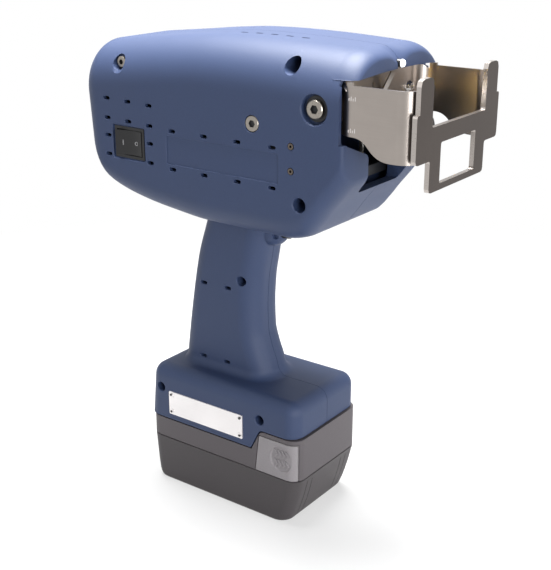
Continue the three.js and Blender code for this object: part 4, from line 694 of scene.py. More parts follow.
# Clamp screw: place; pocket's radius, bore and chamfer; outside and inside of its floor; radius of the cup
CLAMP_PLACE = (86, 295)
CLAMP_POCKET = (9, 3.2, 0.8)
CLAMP_FLOORS = (48.5, 46.5)
CLAMP_CUP = 10.2
# Frame screw: place, and radius, bore, chamfer and depth of its hole
FRAME_SCREW_PLACE = (41, 281.5)
FRAME_SCREW_HOLE = (5.3, 2.7, 0.4, 1.8)
VENT_LENGTH = 5.6
VENT_HEIGHT = 2.3
VENT_CHAMFER = 0.3
VENT_COLUMNS = (0.118, 0.207, 0.295)
VENT_ROWS = (0.604, 0.498, 0.403, 0.3)
VENT_ROW_DROP = 0.0055
STRIP_COLUMNS = (0.387, 0.511, 0.637, 0.763)
STRIP_LEVELS = (0.4777, 0.2761)
GRIP_VENTS = [(-0.483, 0.537), (-0.127, 0.539), (-0.513, 0.0586), (-0.16, 0.062)]
TOP_VENTS = (0.531, 0.587, 0.642, 0.697, 0.753)
TOP_VENT_Y = 15
TOP_VENT_DEPTH = 9
# Recesses: depth, corner and chamfer
NAME_RECESS = (-28, 60.4, 247.5, 265.5)
NAME_RECESS_FORM = (0.6, 0.9, 0.35)
ROCKER_PLACE = (-61.5, 256.5)
ROCKER_RECESS = (28.5, 22.5)
ROCKER_RECESS_FORM = (1.5, 1.5, 0.5)
ROCKER_HOLE = (24.4, 19.4)
# Panel's opening: half its width and height, and its corners
PANEL_CUT = (29.3, 15.8, 5.3)
INSERT_PLACES = [(70, 256.5), (70, 271.5)]
INSERT_BORE = 2.3
# Pod's side hole: radius, how far it is ahead of and below the pod's middle, and its floor
POD_HOLE = (2, 7.5, 0.5, 6.2)
# Trigger's hole: radius and front end
TRIGGER_HOLE = (5.9, 40)
# Blocks inside the foot and the pack's channel through it, as spans along, across and up
FOOT_RAIL = ((-57, 24.6), (-36.5, -20.5), (54.5, 58.5))
FOOT_SHELF = ((-47.4, -36), (-36.5, -17.3), (67.7, 79.7))
TONGUE_CHANNEL = ((-36, 70), (-24.7, 24.7), (58.5, 66.2))
TONGUE_SLOT = ((-36, 70), (-20.5, 20.5), (50, 59))
SEAM_GAP = 0.3
SPLIT_ROOM = (200, 100, 400)


def slot_shape(u, v, length, height):
    """A slot with round ends, as a polygon."""
    radius = height / 2
    points = []
    for side in (1, -1):
        for k in range(9):
            angle = (k / 8 - 0.5) * math.pi
            points.append((u + side * (length / 2 - radius + radius * math.cos(angle)),
                           v + side * radius * math.sin(angle)))
    return points


def flared_hole(name, rim, radius, centre, face, *steps, sides=40):
    """A round hole along Y into the right side, chamfered at its mouth; steps are (floor, next radius)."""
    rows = [(face - OVERLAP, radius + rim), (face, radius + rim), (face + rim, radius)]
    for floor, after in steps:
        rows.append((floor, rows[-1][1]))
        if after:
            rows.append((floor, after))
    return turned(name, rows, "Y", centre, sides)


def flared_slot(name, shape_at, face, floor, rim):
    """A hole along Y with the outline shape_at(grow) and a small chamfer at its mouth."""
    rows = [(face - OVERLAP, rim), (face, rim), (face + rim, 0), (floor, 0)]
    return loft(name, [[(u, y, v) for u, v in shape_at(grow)] for y, grow in rows])


def vent(name, place, face):
    """A small slot with round ends through the wall behind a face."""
    return flared_slot(name, lambda grow: slot_shape(*place, VENT_LENGTH + 2 * grow, VENT_HEIGHT + 2 * grow),
                       face, face + WALL + OVERLAP, VENT_CHAMFER)


def recess(name, x0, x1, z0, z1, form):
    """A shallow rectangular recess in the right side; the form is its depth, corner and chamfer."""
    depth, corner, rim = form

    def shape_at(grow):
        return rectangle(x0 - grow, x1 + grow, z0 - grow, z1 + grow, corner + grow)

    return flared_slot(name, shape_at, -SIDE_Y, depth - SIDE_Y, rim)


def throat_shape(grow, slope=0.0):
    """The opening at the nose seen from ahead; the slope lowers its upper corners."""
    half = [(y + grow, z - grow, THROAT_ROUND) for y, z in THROAT_CORNERS[1:]]
    width = THROAT_CORNERS[0][0] + grow
    arch = []
    for k in range(25):
        t = 1 - k / 12
        drop = slope * max(0, width * abs(t) - THROAT_SHOULDER)
        arch.append((-width * t, VISOR_LIP + grow + VISOR_ARCH * (1 - t * t) - drop))
    return outline(arch + half + [(-y, z, radius) for y, z, radius in reversed(half)], 8)


def leaned(body):
    """Leans a body as the rear of the head does."""
    for vertex in body.data.vertices:
        vertex.co.x -= REAR_LEAN * (vertex.co.z - HEAD_MIDDLE * MM)
    return body


def housing_forms(prefix, inset):
    """The whole outside, or with an inset the hollow, which passes the outside's open edges."""
    foot = foot_form(prefix + "_foot", inset, FOOT_LOW - (OVERLAP if inset else 0))
    combine(foot, step_cut(prefix + "_step", inset), "DIFFERENCE")
    head = head_form(prefix + "_head", inset)
    low = VISOR_LIP - (VISOR_UNDERCUT if inset else 0)
    room = block(prefix + "_visor_room", (VISOR_START, NOSE_FACE + VISOR_ROOM),
                 (-SIDE_Y - OVERLAP, SIDE_Y + OVERLAP), (low, HEAD_TOP))
    head = union([combine(head, room, "DIFFERENCE"), visor_form(prefix + "_visor", inset, low)])
    return union([head, grip_form(prefix + "_grip", inset), foot, pod_form(prefix + "_pod", inset)])


def side_cuts():
    """Every recess and hole through the right side that the left side has too.

    The lower two rows of vents leave out the middle column.
    """
    side = -SIDE_Y
    cuts = []
    for row, level in enumerate(VENT_ROWS):
        for column, along in enumerate(VENT_COLUMNS):
            if row < 2 or column != 1:
                cuts.append(vent("vent_side", head_place((along, level - VENT_ROW_DROP * column)), side))
    for along in STRIP_COLUMNS:
        cuts += [vent("vent_strip", head_place((along, level)), side) for level in STRIP_LEVELS]
    cuts += [vent("vent_grip", grip_place(share), -GRIP_HALF_WIDTH) for share in GRIP_VENTS]
    cuts.append(recess("name_recess", *NAME_RECESS, NAME_RECESS_FORM))
    radius, bore, rim = CLAMP_POCKET
    floor, back = CLAMP_FLOORS
    cuts.append(flared_hole("clamp_pocket", rim, radius, CLAMP_PLACE, side, (-floor, bore),
                            (OVERLAP - back, 0), sides=64))
    radius, bore, rim, depth = FRAME_SCREW_HOLE
    cuts.append(flared_hole("frame_screw_hole", rim, radius, FRAME_SCREW_PLACE, side, (side + depth, bore),
                            (side + WALL + OVERLAP, 0), sides=48))
    return joined("side_cuts", cuts)


def right_cuts():
    """Recesses and holes that only the right side has."""
    side = -SIDE_Y
    x, z = ROCKER_PLACE
    a, b = ROCKER_RECESS[0] / 2, ROCKER_RECESS[1] / 2
    cuts = [recess("rocker_recess", x - a, x + a, z - b, z + b, ROCKER_RECESS_FORM)]
    cuts += [bar("insert_hole", INSERT_BORE, "Y", side - OVERLAP, side + WALL + OVERLAP, place)
             for place in INSERT_PLACES]
    bore, ahead, down, floor = POD_HOLE
    cuts.append(bar("pod_hole", bore, "Y", -POD_RADIUS - OVERLAP, -floor,
                    (POD_X + ahead, POD_CENTRE_Z - down)))
    for along in TOP_VENTS:
        shape = slot_shape(head_place((along, 0))[0], -TOP_VENT_Y, VENT_LENGTH, VENT_HEIGHT)
        cuts.append(prism("vent_top", shape, "Z", HEAD_TOP - TOP_VENT_DEPTH, HEAD_TOP))
    return joined("right_cuts", cuts)


def through_cuts():
    """Holes for the rocker, the rear panel, the trigger and the pack's tongue."""
    x, z = ROCKER_PLACE
    a, b = ROCKER_HOLE[0] / 2, ROCKER_HOLE[1] / 2
    half, rise, corner = PANEL_CUT
    panel = rectangle(-half, half, HEAD_MIDDLE - rise, HEAD_MIDDLE + rise, corner)
    bore, front = TRIGGER_HOLE
    return [block("rocker_hole", (x - a, x + a), (-SIDE_Y, -SIDE_Y + WALL + OVERLAP), (z - b, z + b)),
            leaned(prism("panel_cut", panel, "X", HEAD_REAR - WALL, HEAD_REAR + 2 * WALL)),
            bar("trigger_hole", bore, "X", POD_X - OVERLAP, front, (0, TRIGGER_Z), 48),
            block("tongue_channel", *TONGUE_CHANNEL), block("tongue_slot", *TONGUE_SLOT)]


def add_throat(body, outer):
    """The walled opening at the nose, wider at its mouth, with the lamp's slot and a set-back face."""
    rear = NOSE_FACE - THROAT_DEPTH
    wall = prism("throat", throat_shape(THROAT_WALL), "X", rear, NOSE_FACE - WALL / 2)
    combine(body, combine(wall, copy_of(outer, "outer_copy"), "INTERSECT"), "UNION")
    cut_away(body, [
        prism("throat_inside", throat_shape(0, THROAT_SLOPE), "X", rear - OVERLAP, THROAT_EDGE + THROAT_LAP),
        prism("throat_mouth", throat_shape(0), "X", THROAT_EDGE, THROAT_FRONT),
        block("lamp_slot", *LAMP_SLOT),
        block("nose_setback", (NOSE_FACE - NOSE_SETBACK, NOSE_FACE + NOSE_SETBACK), (-SIDE_Y, SIDE_Y),
              (THROAT_CORNERS[1][1], VISOR_LIP))])


def add_inner_walls(body, outer):
    """Bosses of the case screws, cups of the clamp screws, and the foot's rails and shelves."""
    for x, z, bore, *_ in CASE_SCREWS.values():
        boss = bar("boss", bore + BOSS_WALL, "Y", -SIDE_Y, SIDE_Y, (x, z), 40)
        combine(body, combine(boss, copy_of(outer, "outer_copy"), "INTERSECT"), "UNION")
    walls = [bar("cup", CLAMP_CUP, "Y", WALL / 2 - SIDE_Y, -CLAMP_FLOORS[1], CLAMP_PLACE, 48),
             block("foot_rail", *FOOT_RAIL), block("shelf", *FOOT_SHELF)]
    for wall in walls:
        union([body, *both_sides(wall)])


def build_housing():
    """The two halves: the outside less its hollow, with walls and openings, split on the seam."""
    outer = housing_forms("housing", 0)
    body = combine(copy_of(outer, "housing_body"), housing_forms("hollow", WALL), "DIFFERENCE")
    add_throat(body, outer)
    add_inner_walls(body, outer)
    bpy.data.objects.remove(outer)
    cut_away(body, both_sides(side_cuts()))
    cut_away(body, [
        flared_hole("screw_recess", rim, bore, (x, z), -face, (-seat, SCREW_HOLE), (SCREW_BITE, 0))
        for x, z, bore, seat, face, rim in CASE_SCREWS.values()])
    cut_away(body, [right_cuts(), *through_cuts()])
    halves = []
    along, across, up = SPLIT_ROOM
    for name, side in (("right", -1), ("left", 1)):
        keep = block("keep", (-along, along), sorted((side * SEAM_GAP / 2, side * across)), (0, up))
        halves.append(combine(copy_of(body, name + "_half_shell"), keep, "INTERSECT"))
    bpy.data.objects.remove(body)
    return halves


for shell, side in zip(build_housing(), ("right", "left")):
    dress(shell, NAVY, "housing", [side + "_half"], angle=30)


# Battery pack
PACK_REAR = -66.5
PACK_FRONT = 65.8
PACK_HALF = 38
PACK_SEAM = 35.5
PACK_ROUND = 9
PACK_WALL = 2
PACK_BELLY = [(0, 0.045, 0.1, 0.915), (0.04, 0.024, 0.08, 0.955), (0.16, 0.015, 0.064, 0.972),
              (0.6, 0.007, 0.026, 0.99), (1, 0, 0, 1)]
PACK_ROOF = (51.1, 66.6)
PACK_EDGE = 0.45
GROOVE = 0.5
FRONT_LINES = (-24, -18, 18, 24)
COLLAR_LOW = 35.9
COLLAR_SHIFT = 0.6
# Tongue: rear, front, half width of its neck and of its lip, top, and underside of the lip
TONGUE = (-36, 40, 20, 24.5, 66, 58.8)
# Hollow of the collar: half width, floor and roof; slots for the contact blades: along, half width, up
COLLAR_HOLLOW = (24, 30, 48.6)
BLADE_SLOT = ((-37, -25.8), 0.95, (61, 67))
BLADE_PLACES = (-13.5, -4.5, 4.5, 13.5)
# Latch: rear, front, foot and top; set-off of its rear edge at the top and the foot; upper and lower corners
LATCH_PLACE = (32, 63.9, 36.1, 63.2)
LATCH_SLANT = (2.0, -1.2)
LATCH_ROUNDS = (1, 0.6)
LATCH_THICK = 7
LATCH_GAP = 0.6
LATCH_POCKET = 10.5
# Dished patch of the latch: place, radius and depth; its ribs: thickness, half height, point and depth
LATCH_PAD = (52.4, 50.7, 9, 0.9)
LATCH_PAD_EDGE = 0.5
RIB = (1.3, 3.1, 2.2, 0.15)
RIB_FOOT = 2
RIB_COUNT = 4
RIB_PITCH = 3.1
RIB_START = 6.3
RIB_ROW = 3.7


def pack_form(name, inset):
    """The case or its hollow, upright above and drawn in to the base in a curve."""
    levels = [0, 0.008, 0.02, 0.04, 0.07, 0.11, 0.16] + [0.16 + 0.84 * k / 14 for k in range(1, 15)]
    run = PACK_FRONT - PACK_REAR
    rings = []
    for i, level in enumerate(levels):
        z = PACK_SEAM * level + (inset if i == 0 else 0) + (OVERLAP if level == 1 and inset else 0)
        rear = PACK_REAR + run * smooth_share(PACK_BELLY, level) + inset
        front = PACK_FRONT - run * smooth_share(PACK_BELLY, level, 2) - inset
        half = PACK_HALF * smooth_share(PACK_BELLY, level, 3) - inset
        if level == 1 and not inset:
            rings.append(level_ring(rear, front, half, PACK_ROUND, PACK_SEAM - PACK_EDGE))
            rear, front, half = rear + PACK_EDGE, front - PACK_EDGE, half - PACK_EDGE
        rings.append(level_ring(rear, front, half, PACK_ROUND - inset, z))
    return loft(name, rings)


def collar_form(name):
    """The collar's outside, stepped down at the rear, where the foot lies on it."""
    low, high = PACK_ROOF
    rings = [level_ring(PACK_REAR + trim, PACK_FRONT - trim, PACK_HALF - trim, PACK_ROUND, z)
             for z, trim in ((COLLAR_LOW, PACK_EDGE), (COLLAR_LOW + PACK_EDGE, 0), (high, 0))]
    step, rear, front = FOOT_STEP_X + COLLAR_SHIFT, PACK_REAR - PACK_ROUND, PACK_FRONT + PACK_ROUND
    shape = outline([(rear, low), (step, low), (step + FOOT_STEP_RUN, high, FOOT_STEP_ROUND), (front, high),
                     (front, high + 20), (rear, high + 20)], 8)
    return cut_away(loft(name, rings), [prism(name + "_over", shape, "Y", -HEAD_WIDTH, HEAD_WIDTH)])


def front_line(name, y):
    """A fine upright groove in the sloping front of the case."""
    levels = [0.1 + 0.8 * k / 10 for k in range(11)]
    face = [(PACK_FRONT - (PACK_FRONT - PACK_REAR) * smooth_share(PACK_BELLY, level, 2), PACK_SEAM * level)
            for level in levels]
    shape = [(x - GROOVE, z) for x, z in face] + [(x + 2, z) for x, z in reversed(face)]
    return prism(name, shape, "Y", y - GROOVE / 2, y + GROOVE / 2)


def build_pack_case():
    case = combine(pack_form("pack_case_shell", 0), pack_form("pack_hollow", PACK_WALL), "DIFFERENCE")
    return cut_away(case, [front_line("front_line", y) for y in FRONT_LINES])


def build_collar():
    """The collar and its tongue, hollow, with slots for the contact blades and pockets for the latches."""
    rear, front, neck, lip, top, lip_low = TONGUE
    collar = union([collar_form("pack_collar_shell"),
                    block("tongue_neck", (rear, front), (-neck, neck), (COLLAR_LOW + 1, top)),
                    block("tongue_lip", (rear, front), (-lip, lip), (lip_low, top))])
    half, floor, roof = COLLAR_HOLLOW
    cuts = [block("collar_hollow", (PACK_REAR + PACK_ROUND, PACK_FRONT - PACK_ROUND), (-half, half),
                  (floor, roof))]
    along, half, up = BLADE_SLOT
    cuts += [block("blade_slot", along, (y - half, y + half), up) for y in BLADE_PLACES]
    x0, x1, _, z1 = LATCH_PLACE
    lean_high, lean_low = LATCH_SLANT
    shape = [(x0 + lean_high - LATCH_GAP, z1 + LATCH_GAP), (x0 + lean_low - LATCH_GAP, PACK_SEAM),
             (x1 + LATCH_GAP, PACK_SEAM), (x1 + LATCH_GAP, z1 + LATCH_GAP)]
    cuts += both_sides(prism("latch_pocket", shape, "Y", -PACK_HALF - OVERLAP, LATCH_POCKET - PACK_HALF))
    return cut_away(collar, cuts)


def build_latch():
    """Side latch with a round dished patch of arrow ribs."""
    x0, x1, z0, z1 = LATCH_PLACE
    lean_high, lean_low = LATCH_SLANT
    upper, lower = LATCH_ROUNDS
    shape = outline([(x0 + lean_high, z1, upper), (x0 + lean_low, z0, lower), (x1, z0, lower),
                     (x1, z1, upper)], 4)
    keep = prism("latch_keep", shape, "Y", -PACK_HALF - OVERLAP, LATCH_THICK - PACK_HALF)
    latch = combine(collar_form("right_latch_cap"), keep, "INTERSECT")
    x, z, radius, dish = LATCH_PAD
    edge = LATCH_PAD_EDGE
    profile = [(-PACK_HALF - OVERLAP, radius + edge), (-PACK_HALF, radius + 0.8 * edge),
               (edge - PACK_HALF, radius), (dish - PACK_HALF, radius - edge)]
    pad = turned("latch_dish", profile, "Y", (x, z), 64)
    thick, rise, point, top = RIB
    for v in (z + RIB_ROW, z - RIB_ROW):
        for k in range(RIB_COUNT):
            u = x - RIB_START + RIB_PITCH * k
            arrow = [(u, v + rise), (u + thick, v + rise), (u + thick + point, v), (u + thick, v - rise),
                     (u, v - rise), (u + point, v)]
            combine(pad, prism("latch_rib", arrow, "Y", top - PACK_HALF, RIB_FOOT - PACK_HALF), "DIFFERENCE")
    return combine(latch, pad, "DIFFERENCE")


dress(build_pack_case(), PACK_GREY, "battery", ["pack_case"], angle=30)
dress(build_collar(), COLLAR_GREY, "battery", ["pack_collar"], angle=30)
right_latch = build_latch()
left_latch = mirrored(right_latch, "left_latch_cap")
dress(right_latch, LATCH_GREY, "latch_right", ["right_latch"], angle=30)
dress(left_latch, LATCH_GREY, "latch_left", ["left_latch"], angle=30)


# Rocker switch
ROCKER_PIVOT = (-61.5, -48.5, 256.5)
ROCKER_TILT = 8
# Key: half length and width; rise over the pin, dish of the face, depth and half length of the heel
ROCKER_HALF = (10.0, 8.2)
ROCKER_FORM = (5.2, 1.9, 4.6, 3)
ROCKER_PIN = (1.2, 0.9)
# Marks: place from the middle, half height, half width and bite; rise of stroke and ring; the ring's radii
ROCKER_MARKS = (5.4, 1.7, 0.35, 0.3)
MARK_RISES = (0.12, 0.25)
RING_SHARES = (0.8, 0.5)


def build_rocker():
    """A key with a hollow face and a heel, on its pin."""
    a, b = ROCKER_HALF
    rise, dish, heel, heel_half = ROCKER_FORM
    steps = [1 - 2 * k / 20 for k in range(21)]
    face = [(a * t, rise - dish * (1 - t * t)) for t in steps]
    body = prism("rocker_key", [(-a, 0), (-heel_half, -heel), (heel_half, -heel), (a, 0)] + face, "Z", -b, b)
    radius, end = ROCKER_PIN
    return combine(body, bar("rocker_pin", radius, "Z", -b - end, b + end, (0, 0)), "UNION")


def place_rocker(body):
    """Turns a form made round the pin to the tilt of the key, and puts it in its place."""
    turn = math.pi + math.radians(ROCKER_TILT)
    for vertex in body.data.vertices:
        x, y, z = vertex.co
        vertex.co = (x * math.cos(turn) - y * math.sin(turn) + ROCKER_PIVOT[0] * MM,
                     x * math.sin(turn) + y * math.cos(turn) + ROCKER_PIVOT[1] * MM, z + ROCKER_PIVOT[2] * MM)
    return body


def rocker_marks():
    """A stroke for on and a ring for off, printed on the key."""
    place, half, thin, bite = ROCKER_MARKS
    rise, dish = ROCKER_FORM[:2]
    outer, inner = (half * share for share in RING_SHARES)
    face = rise - dish * (1 - (place / ROCKER_HALF[0]) ** 2)
    stroke = block("stroke", (place - thin, place + thin), (face - bite, face + MARK_RISES[0]), (-half, half))
    disc = bar("disc", outer, "Y", face - bite, face + MARK_RISES[1], (-place, 0))
    core = bar("core", inner, "Y", face - OVERLAP, face + OVERLAP, (-place, 0))
    return joined("rocker_marks", [stroke, combine(disc, core, "DIFFERENCE")])


dress(place_rocker(build_rocker()), SWITCH_BLACK, "rocker", ["rocker"], angle=30)
dress(place_rocker(rocker_marks()), WHITE_MARK, "rocker", angle=30)


# Coil of the marking unit, with its turns: rear, front, radius and bore
UNIT_AXIS = (-15, 283.5)
COIL = (110.7, 127.1, 17.5, 4.2)
COIL_TURNS = 20
COIL_GROOVE = 0.35


def build_coil():
    """A winding whose turns show as shallow ridges."""
    rear, front, radius, bore = COIL
    pitch = (front - rear) / COIL_TURNS
    profile = [(rear, radius - COIL_GROOVE)]
    for k in range(COIL_TURNS):
        profile += [(rear + pitch * (k + part), radius - COIL_GROOVE * (1 - math.sin(part * math.pi)))
                    for part in (0.25, 0.5, 0.75, 1.0)]
    body = turned("coil_winding", profile, "X", UNIT_AXIS, 72)
    hole = bar("coil_bore", bore, "X", rear - OVERLAP, front + OVERLAP, UNIT_AXIS)
    return combine(body, hole, "DIFFERENCE")


dress(build_coil(), BRASS, "carriage", ["coil_body"], angle=60)


# Stand-off guide, bent from one strip of sheet
GUIDE_HALF = 49.6
GUIDE_SPAN = (97.5, 149)
GUIDE_BENDS = (12.5, 11)
GUIDE_SHEET = 1.5
GUIDE_SIDE = [(95.5, 281.5), (116, 281.5, 6), (127, 269.5, 8), (151, 269.5), (151, 310.5), (110, 310.5),
              (110, 312), (95.5, 312)]
GUIDE_UP = (262, 318)
GUIDE_OUTSIDE = (60, 330)
# Crown of the rear wall: half width, shoulder, rise, slope beside it and depth of the cut; its run sideways
GUIDE_CROWN = (46, 310.5, 1.5, 1.3, 8)
CROWN_RUN = 1.3
# Window and slot of the rear wall, across and up; half width and depth of the mouth; guide screws' bores
GUIDE_WINDOW = ((-30, 30), (266, 293))
GUIDE_SLOT = ((-10.5, -9.5), (301.8, 306.4))
GUIDE_MOUTH = (39, 4)
GUIDE_SCREWS = (33.4, 298.5, 2.3)
# Slopes that pick the faces given the painted edge highlight
EDGE_SLOPE = 0.45
PLATE_EDGE_SLOPE = 0.7
# Scale strokes: first place along, pitch, count, width, rise over the sheet and bite; each row's foot and
# length
TICKS = (107.4, 1.4, 4, 0.35, 0.06, 0.3)
TICK_ROWS = [(302, 2.4), (284, 2.4)]
SHORT_TICK = 0.6


def band(name, inset, low, high):
    """A closed band of sheet seen from above, with wider bends at the rear."""
    rear, front = GUIDE_SPAN[0] + inset, GUIDE_SPAN[1] - inset
    half = GUIDE_HALF - inset
    near, far = GUIDE_BENDS[1] - inset, GUIDE_BENDS[0] - inset
    return loft(name, [ring(rear, front, -half, half, (near, far, far, near), 10, lambda x, y: (x, y, z))
                       for z in (low, high)])


def build_guide():
    """The sheet, cut to its side outline, crowned at the rear and open at the front."""
    rear, front = GUIDE_SPAN
    low, high = GUIDE_UP
    core = band("guide_core", GUIDE_SHEET, low - OVERLAP, high + OVERLAP)
    guide = combine(band("guide_sheet", 0, low, high), core, "DIFFERENCE")
    across, above = GUIDE_OUTSIDE
    combine(guide, prism("guide_side", outline(GUIDE_SIDE, 8), "Y", -across, across), "INTERSECT")
    reach, base, rise, slope, depth = GUIDE_CROWN
    crown = []
    for k in range(25):
        t = CROWN_RUN * (1 - k / 12)
        crown.append((reach * t, base + rise * max(0, 1 - t * t) - slope * reach * max(0, abs(t) - 1)))
    crown += [(-across, above), (across, above)]
    through = (rear - 2, rear + 2 * GUIDE_SHEET)
    half, run = GUIDE_MOUTH
    cuts = [prism("crown_cut", crown, "X", rear - 3, rear + depth),
            block("window_cut", through, *GUIDE_WINDOW),
            block("mouth_cut", (front - run, front + 2), (-half, half), (low - 2, high + 2)),
            block("slot_cut", through, *GUIDE_SLOT)]
    y, z, radius = GUIDE_SCREWS
    cuts += [bar("guide_hole", radius, "X", *through, (side * y, z)) for side in (-1, 1)]
    return cut_away(guide, cuts)


def guide_scale():
    """Plain strokes on the right arm, every other one short."""
    start, pitch, count, width, lift, bite = TICKS
    ticks = []
    for low, length in TICK_ROWS:
        for k in range(count):
            x, high = start + pitch * k, low + length * (1 if k % 2 else SHORT_TICK)
            ticks.append(block("tick", (x, x + width), (-GUIDE_HALF - lift, bite - GUIDE_HALF), (low, high)))
    return joined("guide_scale", ticks)


def paint_edge_highlight(body, axis, limit, above):
    """Cut edges get the second material, a painted highlight: faces whose normal is past the limit on an
    axis.
    """
    for face in body.data.polygons:
        tilt = abs(face.normal[axis])
        face.material_index = int(tilt > limit if above else tilt < limit)


guide = dress(build_guide(), STEEL, "guide", ["guide_bracket"], angle=35)
# The sheet's upward and downward faces get a painted highlight, where its edges catch the overhead lamp
guide.data.materials.append(EDGE_HIGHLIGHT_STEEL)
paint_edge_highlight(guide, 2, EDGE_SLOPE, True)
flat = guide.modifiers.new("flat_faces", "WEIGHTED_NORMAL")
flat.keep_sharp = True
dress(guide_scale(), PLATE, "guide")


# Screws of the case, of the clamp and of the frame; each of the last two has its name, place and seat, radius
# and height of head, radius and depth of socket, radius and length of shank, and maybe a washer
SIDE_SCREWS = [
    ("clamp", CLAMP_PLACE, CLAMP_FLOORS[0], (5.6, 3), (2.8, 1.8), (2.6, 3.5), (7.6, 1)),
    ("frame", FRAME_SCREW_PLACE, 51.1, (5, 1.6), (2.4, 1.2), (2.4, 6)),
]
EDGE_SLACK = 0.05


def build_screw(name, centre, seat, head, socket, shank, washer=None):
    """A cap screw along Y on the right side, its head outwards, with a hexagon socket and maybe a washer."""
    base = -seat - (washer[1] if washer else 0)
    radius, height = head
    face = base - height
    chamfer = min(0.5, height / 4)
    profile = [(shank[1] - seat, shank[0]), (base, shank[0]), (base, radius), (face + chamfer, radius),
               (face, radius - chamfer)]
    body = turned(name, profile, "Y", centre, 48)
    hole = bar(name + "_socket", socket[0], "Y", face - OVERLAP, face + socket[1], centre, 6)
    combine(body, hole, "DIFFERENCE")
    if washer:
        combine(body, bar(name + "_washer", washer[0], "Y", base - EDGE_SLACK, -seat, centre, 64), "UNION")
    return body


def dress_screw(body, node, centre, socket, radius):
    """Steel, but black in the socket and beyond the head's radius, as painted shade of socket and pocket."""
    dress(body, SCREW_STEEL, "housing", [node], angle=40)
    body.data.materials.append(BLACK)
    points = [vertex.co / MM for vertex in body.data.vertices]
    for face in body.data.polygons:
        reach = [math.hypot(points[i].x - centre[0], points[i].z - centre[1]) for i in face.vertices]
        beyond = min(reach) > radius - EDGE_SLACK and max(reach) > radius + EDGE_SLACK
        face.material_index = int(max(reach) < socket + EDGE_SLACK or beyond)


for name, (x, z, bore, seat, *_) in CASE_SCREWS.items():
    radius = bore * SCREW_HEAD_SHARE
    socket = radius * SCREW_SOCKET_SHARE
    body = build_screw(name + "_screw", (x, z), seat, (radius, SCREW_HEAD_HEIGHT),
                       (socket, SCREW_SOCKET_DEPTH), (SCREW_SHANK, SCREW_LENGTH))
    dress_screw(body, "case_screw_" + name, (x, z), socket, radius)
caps = [build_screw(f"right_{name}_cap", *sizes) for name, *sizes in SIDE_SCREWS]
for cap, (name, place, seat, head, socket, *_) in zip(caps, SIDE_SCREWS):
    for body, side in ((cap, "right"), (mirrored(cap, f"left_{name}_cap"), "left")):
        dress_screw(body, f"{side}_{name}_screw", place, socket[0], head[0])


# Work light under the hood
LAMP_CENTRE = (0, 317.5)
LAMP_LENS = [(107, 2.4), (112.6, 2.4), (113.7, 2.0), (114.3, 1.2), (114.5, 0.1)]
lamp = turned("lamp_dome", LAMP_LENS, "X", LAMP_CENTRE, 32)
dress(lamp, LENS, "housing", ["lamp_lens"], angle=60)
# The barrel behind the dome is dark
lamp.data.materials.append(MOTOR)
for face in lamp.data.polygons:
    face.material_index = int(face.center.x < (LAMP_LENS[1][0] - EDGE_SLACK) * MM)


# Rivets of the bare plate on the foot, as rows of depth and radius
RIVET = [(0.3, 0.9), (-0.25, 0.9), (-0.4, 0.5)]
RIVET_EDGE = 2.3
low, high = (Vector(corner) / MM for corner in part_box("rating_plate"))
rivets = [turned("rivet", [(low.y + rise, radius) for rise, radius in RIVET], "Y", (x, z), 20)
          for x in (low.x + RIVET_EDGE, high.x - RIVET_EDGE)
          for z in (low.z + RIVET_EDGE, high.z - RIVET_EDGE)]
dress(joined("plate_rivets", rivets), MOTOR, "housing")


# Materials of the nodes that show their own shape
BEVEL_LIMIT = 40


def look(names, material, width=0.0, angle=32, edge=None):
    """Gives nodes a material and a small edge round, which may have a material of its own."""
    for name in names:
        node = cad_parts[name]
        node.data.materials.clear()
        node.data.materials.append(material)
        if edge is not None:
            node.data.materials.append(edge)
        if width:
            step = node.modifiers.new("edge_round", "BEVEL")
            step.width = width * MM
            step.segments = 2
            step.limit_method = "ANGLE"
            step.angle_limit = math.radians(BEVEL_LIMIT)
            step.material = 1 if edge is not None else -1
        smooth_faces(node, angle)


look(["lift_screw", "cross_screw", "right_guide_screw", "left_guide_screw", "right_post", "left_post",
      "slide_rod_upper", "slide_rod_lower", "end_plate_rear", "end_plate_front", "stylus"], BRIGHT, 0.15)
look(["insert_upper", "insert_lower"], INSERT_METAL)
look(["rating_plate"], PLATE, 0.1)
look(["rocker_frame"], SWITCH_BLACK, 0.25)
look(["trigger", "trigger_switch", "terminal_block", "power_lead"], BLACK, 0.25)
look(["control_panel"], BLACK, 0.3)
look(["display_window"], PANE)
look(["keypad"], KEYS, 0.2)
look(["control_board"], BOARD)
# Contact plate: its face dark as a painted reflection, its edge rounds and sides a painted highlight
look(["contact_plate"], PAINTED_DARK_FACE_STEEL, 0.6, 40, EDGE_HIGHLIGHT_STEEL)
paint_edge_highlight(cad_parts["contact_plate"], 0, PLATE_EDGE_SLOPE, False)
look(["right_guide_rail", "left_guide_rail", "lamp_bracket"], STEEL, 0.15)
look(["slide_frame", "bridge", "carriage"], MACHINED, 0.2)
look(["lift_motor", "cross_motor"], MOTOR, 0.3)
look(["stylus_nose"], NOSE_METAL, 0.3)
look([f"cell_{i}" for i in range(1, 8)], CELL, 0.3)


# Floor, world, lamps and camera; the floor near the machine is lit and shows its shadow, and further off it
# turns plain white where it is seen
FLOOR_REACH = 4000
FLOOR_SHADE = 0.3
FLOOR_LIFT = 0.6
FLOOR_FADE = (0.3, 0.7)
WORLD_STRENGTH = 0.15


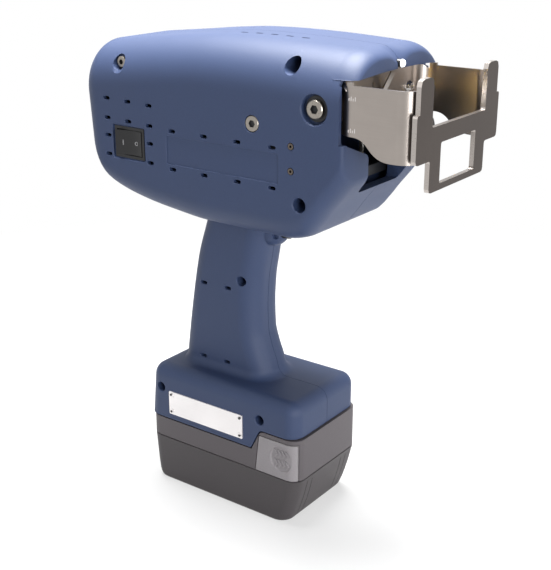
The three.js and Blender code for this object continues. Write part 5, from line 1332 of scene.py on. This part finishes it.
def build_floor():
    corners = [(x * FLOOR_REACH, y * FLOOR_REACH, 0) for x, y in ((-1, -1), (1, -1), (1, 1), (-1, 1))]
    floor = mesh_object("floor", corners, [(0, 1, 2, 3)])
    material = bpy.data.materials.new("pale_floor")
    material.use_nodes = True
    tree = material.node_tree
    lit = tree.nodes["Principled BSDF"]
    feed(tree, lit, {"Base Color": (FLOOR_SHADE, FLOOR_SHADE, FLOOR_SHADE, 1), "Roughness": 1.0,
                     "Specular IOR Level": 0.0})
    lift = add_node(tree, "Emission", {"Strength": FLOOR_LIFT})
    near = add_node(tree, "AddShader", {0: lit.outputs[0], 1: lift.outputs[0]})
    reach = add_node(tree, "VectorMath", {0: object_place(tree)}, "LENGTH").outputs["Value"]
    far = add_node(tree, "Emission", {})
    seen = add_node(tree, "MixShader", {0: span(tree, reach, *FLOOR_FADE), 1: near.outputs[0],
                                        2: far.outputs[0]})
    white_where_seen(tree, lit, seen, tree.nodes["Material Output"])
    floor.data.materials.append(material)


def white_where_seen(tree, plain, white, output):
    """Shows white to camera, mirror and glass rays, and the plain one to the rest."""
    rays = add_node(tree, "LightPath", {}).outputs
    mirror_or_glass = calc(tree, "MAXIMUM", rays["Is Glossy Ray"], rays["Is Transmission Ray"])
    seen = calc(tree, "MAXIMUM", rays["Is Camera Ray"], mirror_or_glass)
    mix = add_node(tree, "MixShader", {0: seen, 1: plain.outputs[0], 2: white.outputs[0]})
    feed(tree, output, {"Surface": mix.outputs[0]})


def build_world():
    world = bpy.data.worlds.new("studio")
    world.use_nodes = True
    tree = world.node_tree
    plain = tree.nodes["Background"]
    feed(tree, plain, {"Color": (1, 1, 1, 1), "Strength": WORLD_STRENGTH})
    white = add_node(tree, "Background", {"Color": (1, 1, 1, 1), "Strength": 1.0})
    white_where_seen(tree, plain, white, tree.nodes["World Output"])
    bpy.context.scene.world = world


def aimed(name, data, place, sight):
    """A lamp or the camera at its place, looking along its sight."""
    body = new_object(name, data)
    body.location = place
    body.rotation_euler = sight.to_track_quat("-Z", "Y").to_euler()
    return body


def build_lamp(name, place, target, size, watts):
    data = bpy.data.lights.new(name, "AREA")
    data.shape = "RECTANGLE"
    data.size, data.size_y = size
    data.energy = watts
    aimed(name, data, place, Vector(target) - Vector(place))


def build_camera():
    data = bpy.data.cameras.new("camera")
    data.lens = CAMERA_LENS
    data.sensor_width = SENSOR_WIDTH
    turn, rise = math.radians(CAMERA_AZIMUTH), math.radians(CAMERA_ELEVATION)
    sight = Vector((-math.cos(rise) * math.sin(turn), math.cos(rise) * math.cos(turn), -math.sin(rise)))
    bpy.context.scene.camera = aimed("camera", data, CAMERA_PLACE, sight)


build_floor()
build_world()
build_lamp("top", (-0.1, 0.12, 1.3), (0, 0, 0.3), (0.7, 0.6), 54)
build_lamp("front", (1.25, -0.75, 0.3), (0.05, 0, 0.2), (0.5, 1.0), 14)
build_lamp("nose", (1.35, 0.25, 0.3), (0.05, 0, 0.15), (0.7, 0.6), 6)
build_lamp("side", (-0.3, -1.5, 0.7), (0, 0, 0.2), (1.0, 0.7), 3)
build_camera()
bpy.context.scene.view_settings.view_transform = "Standard"
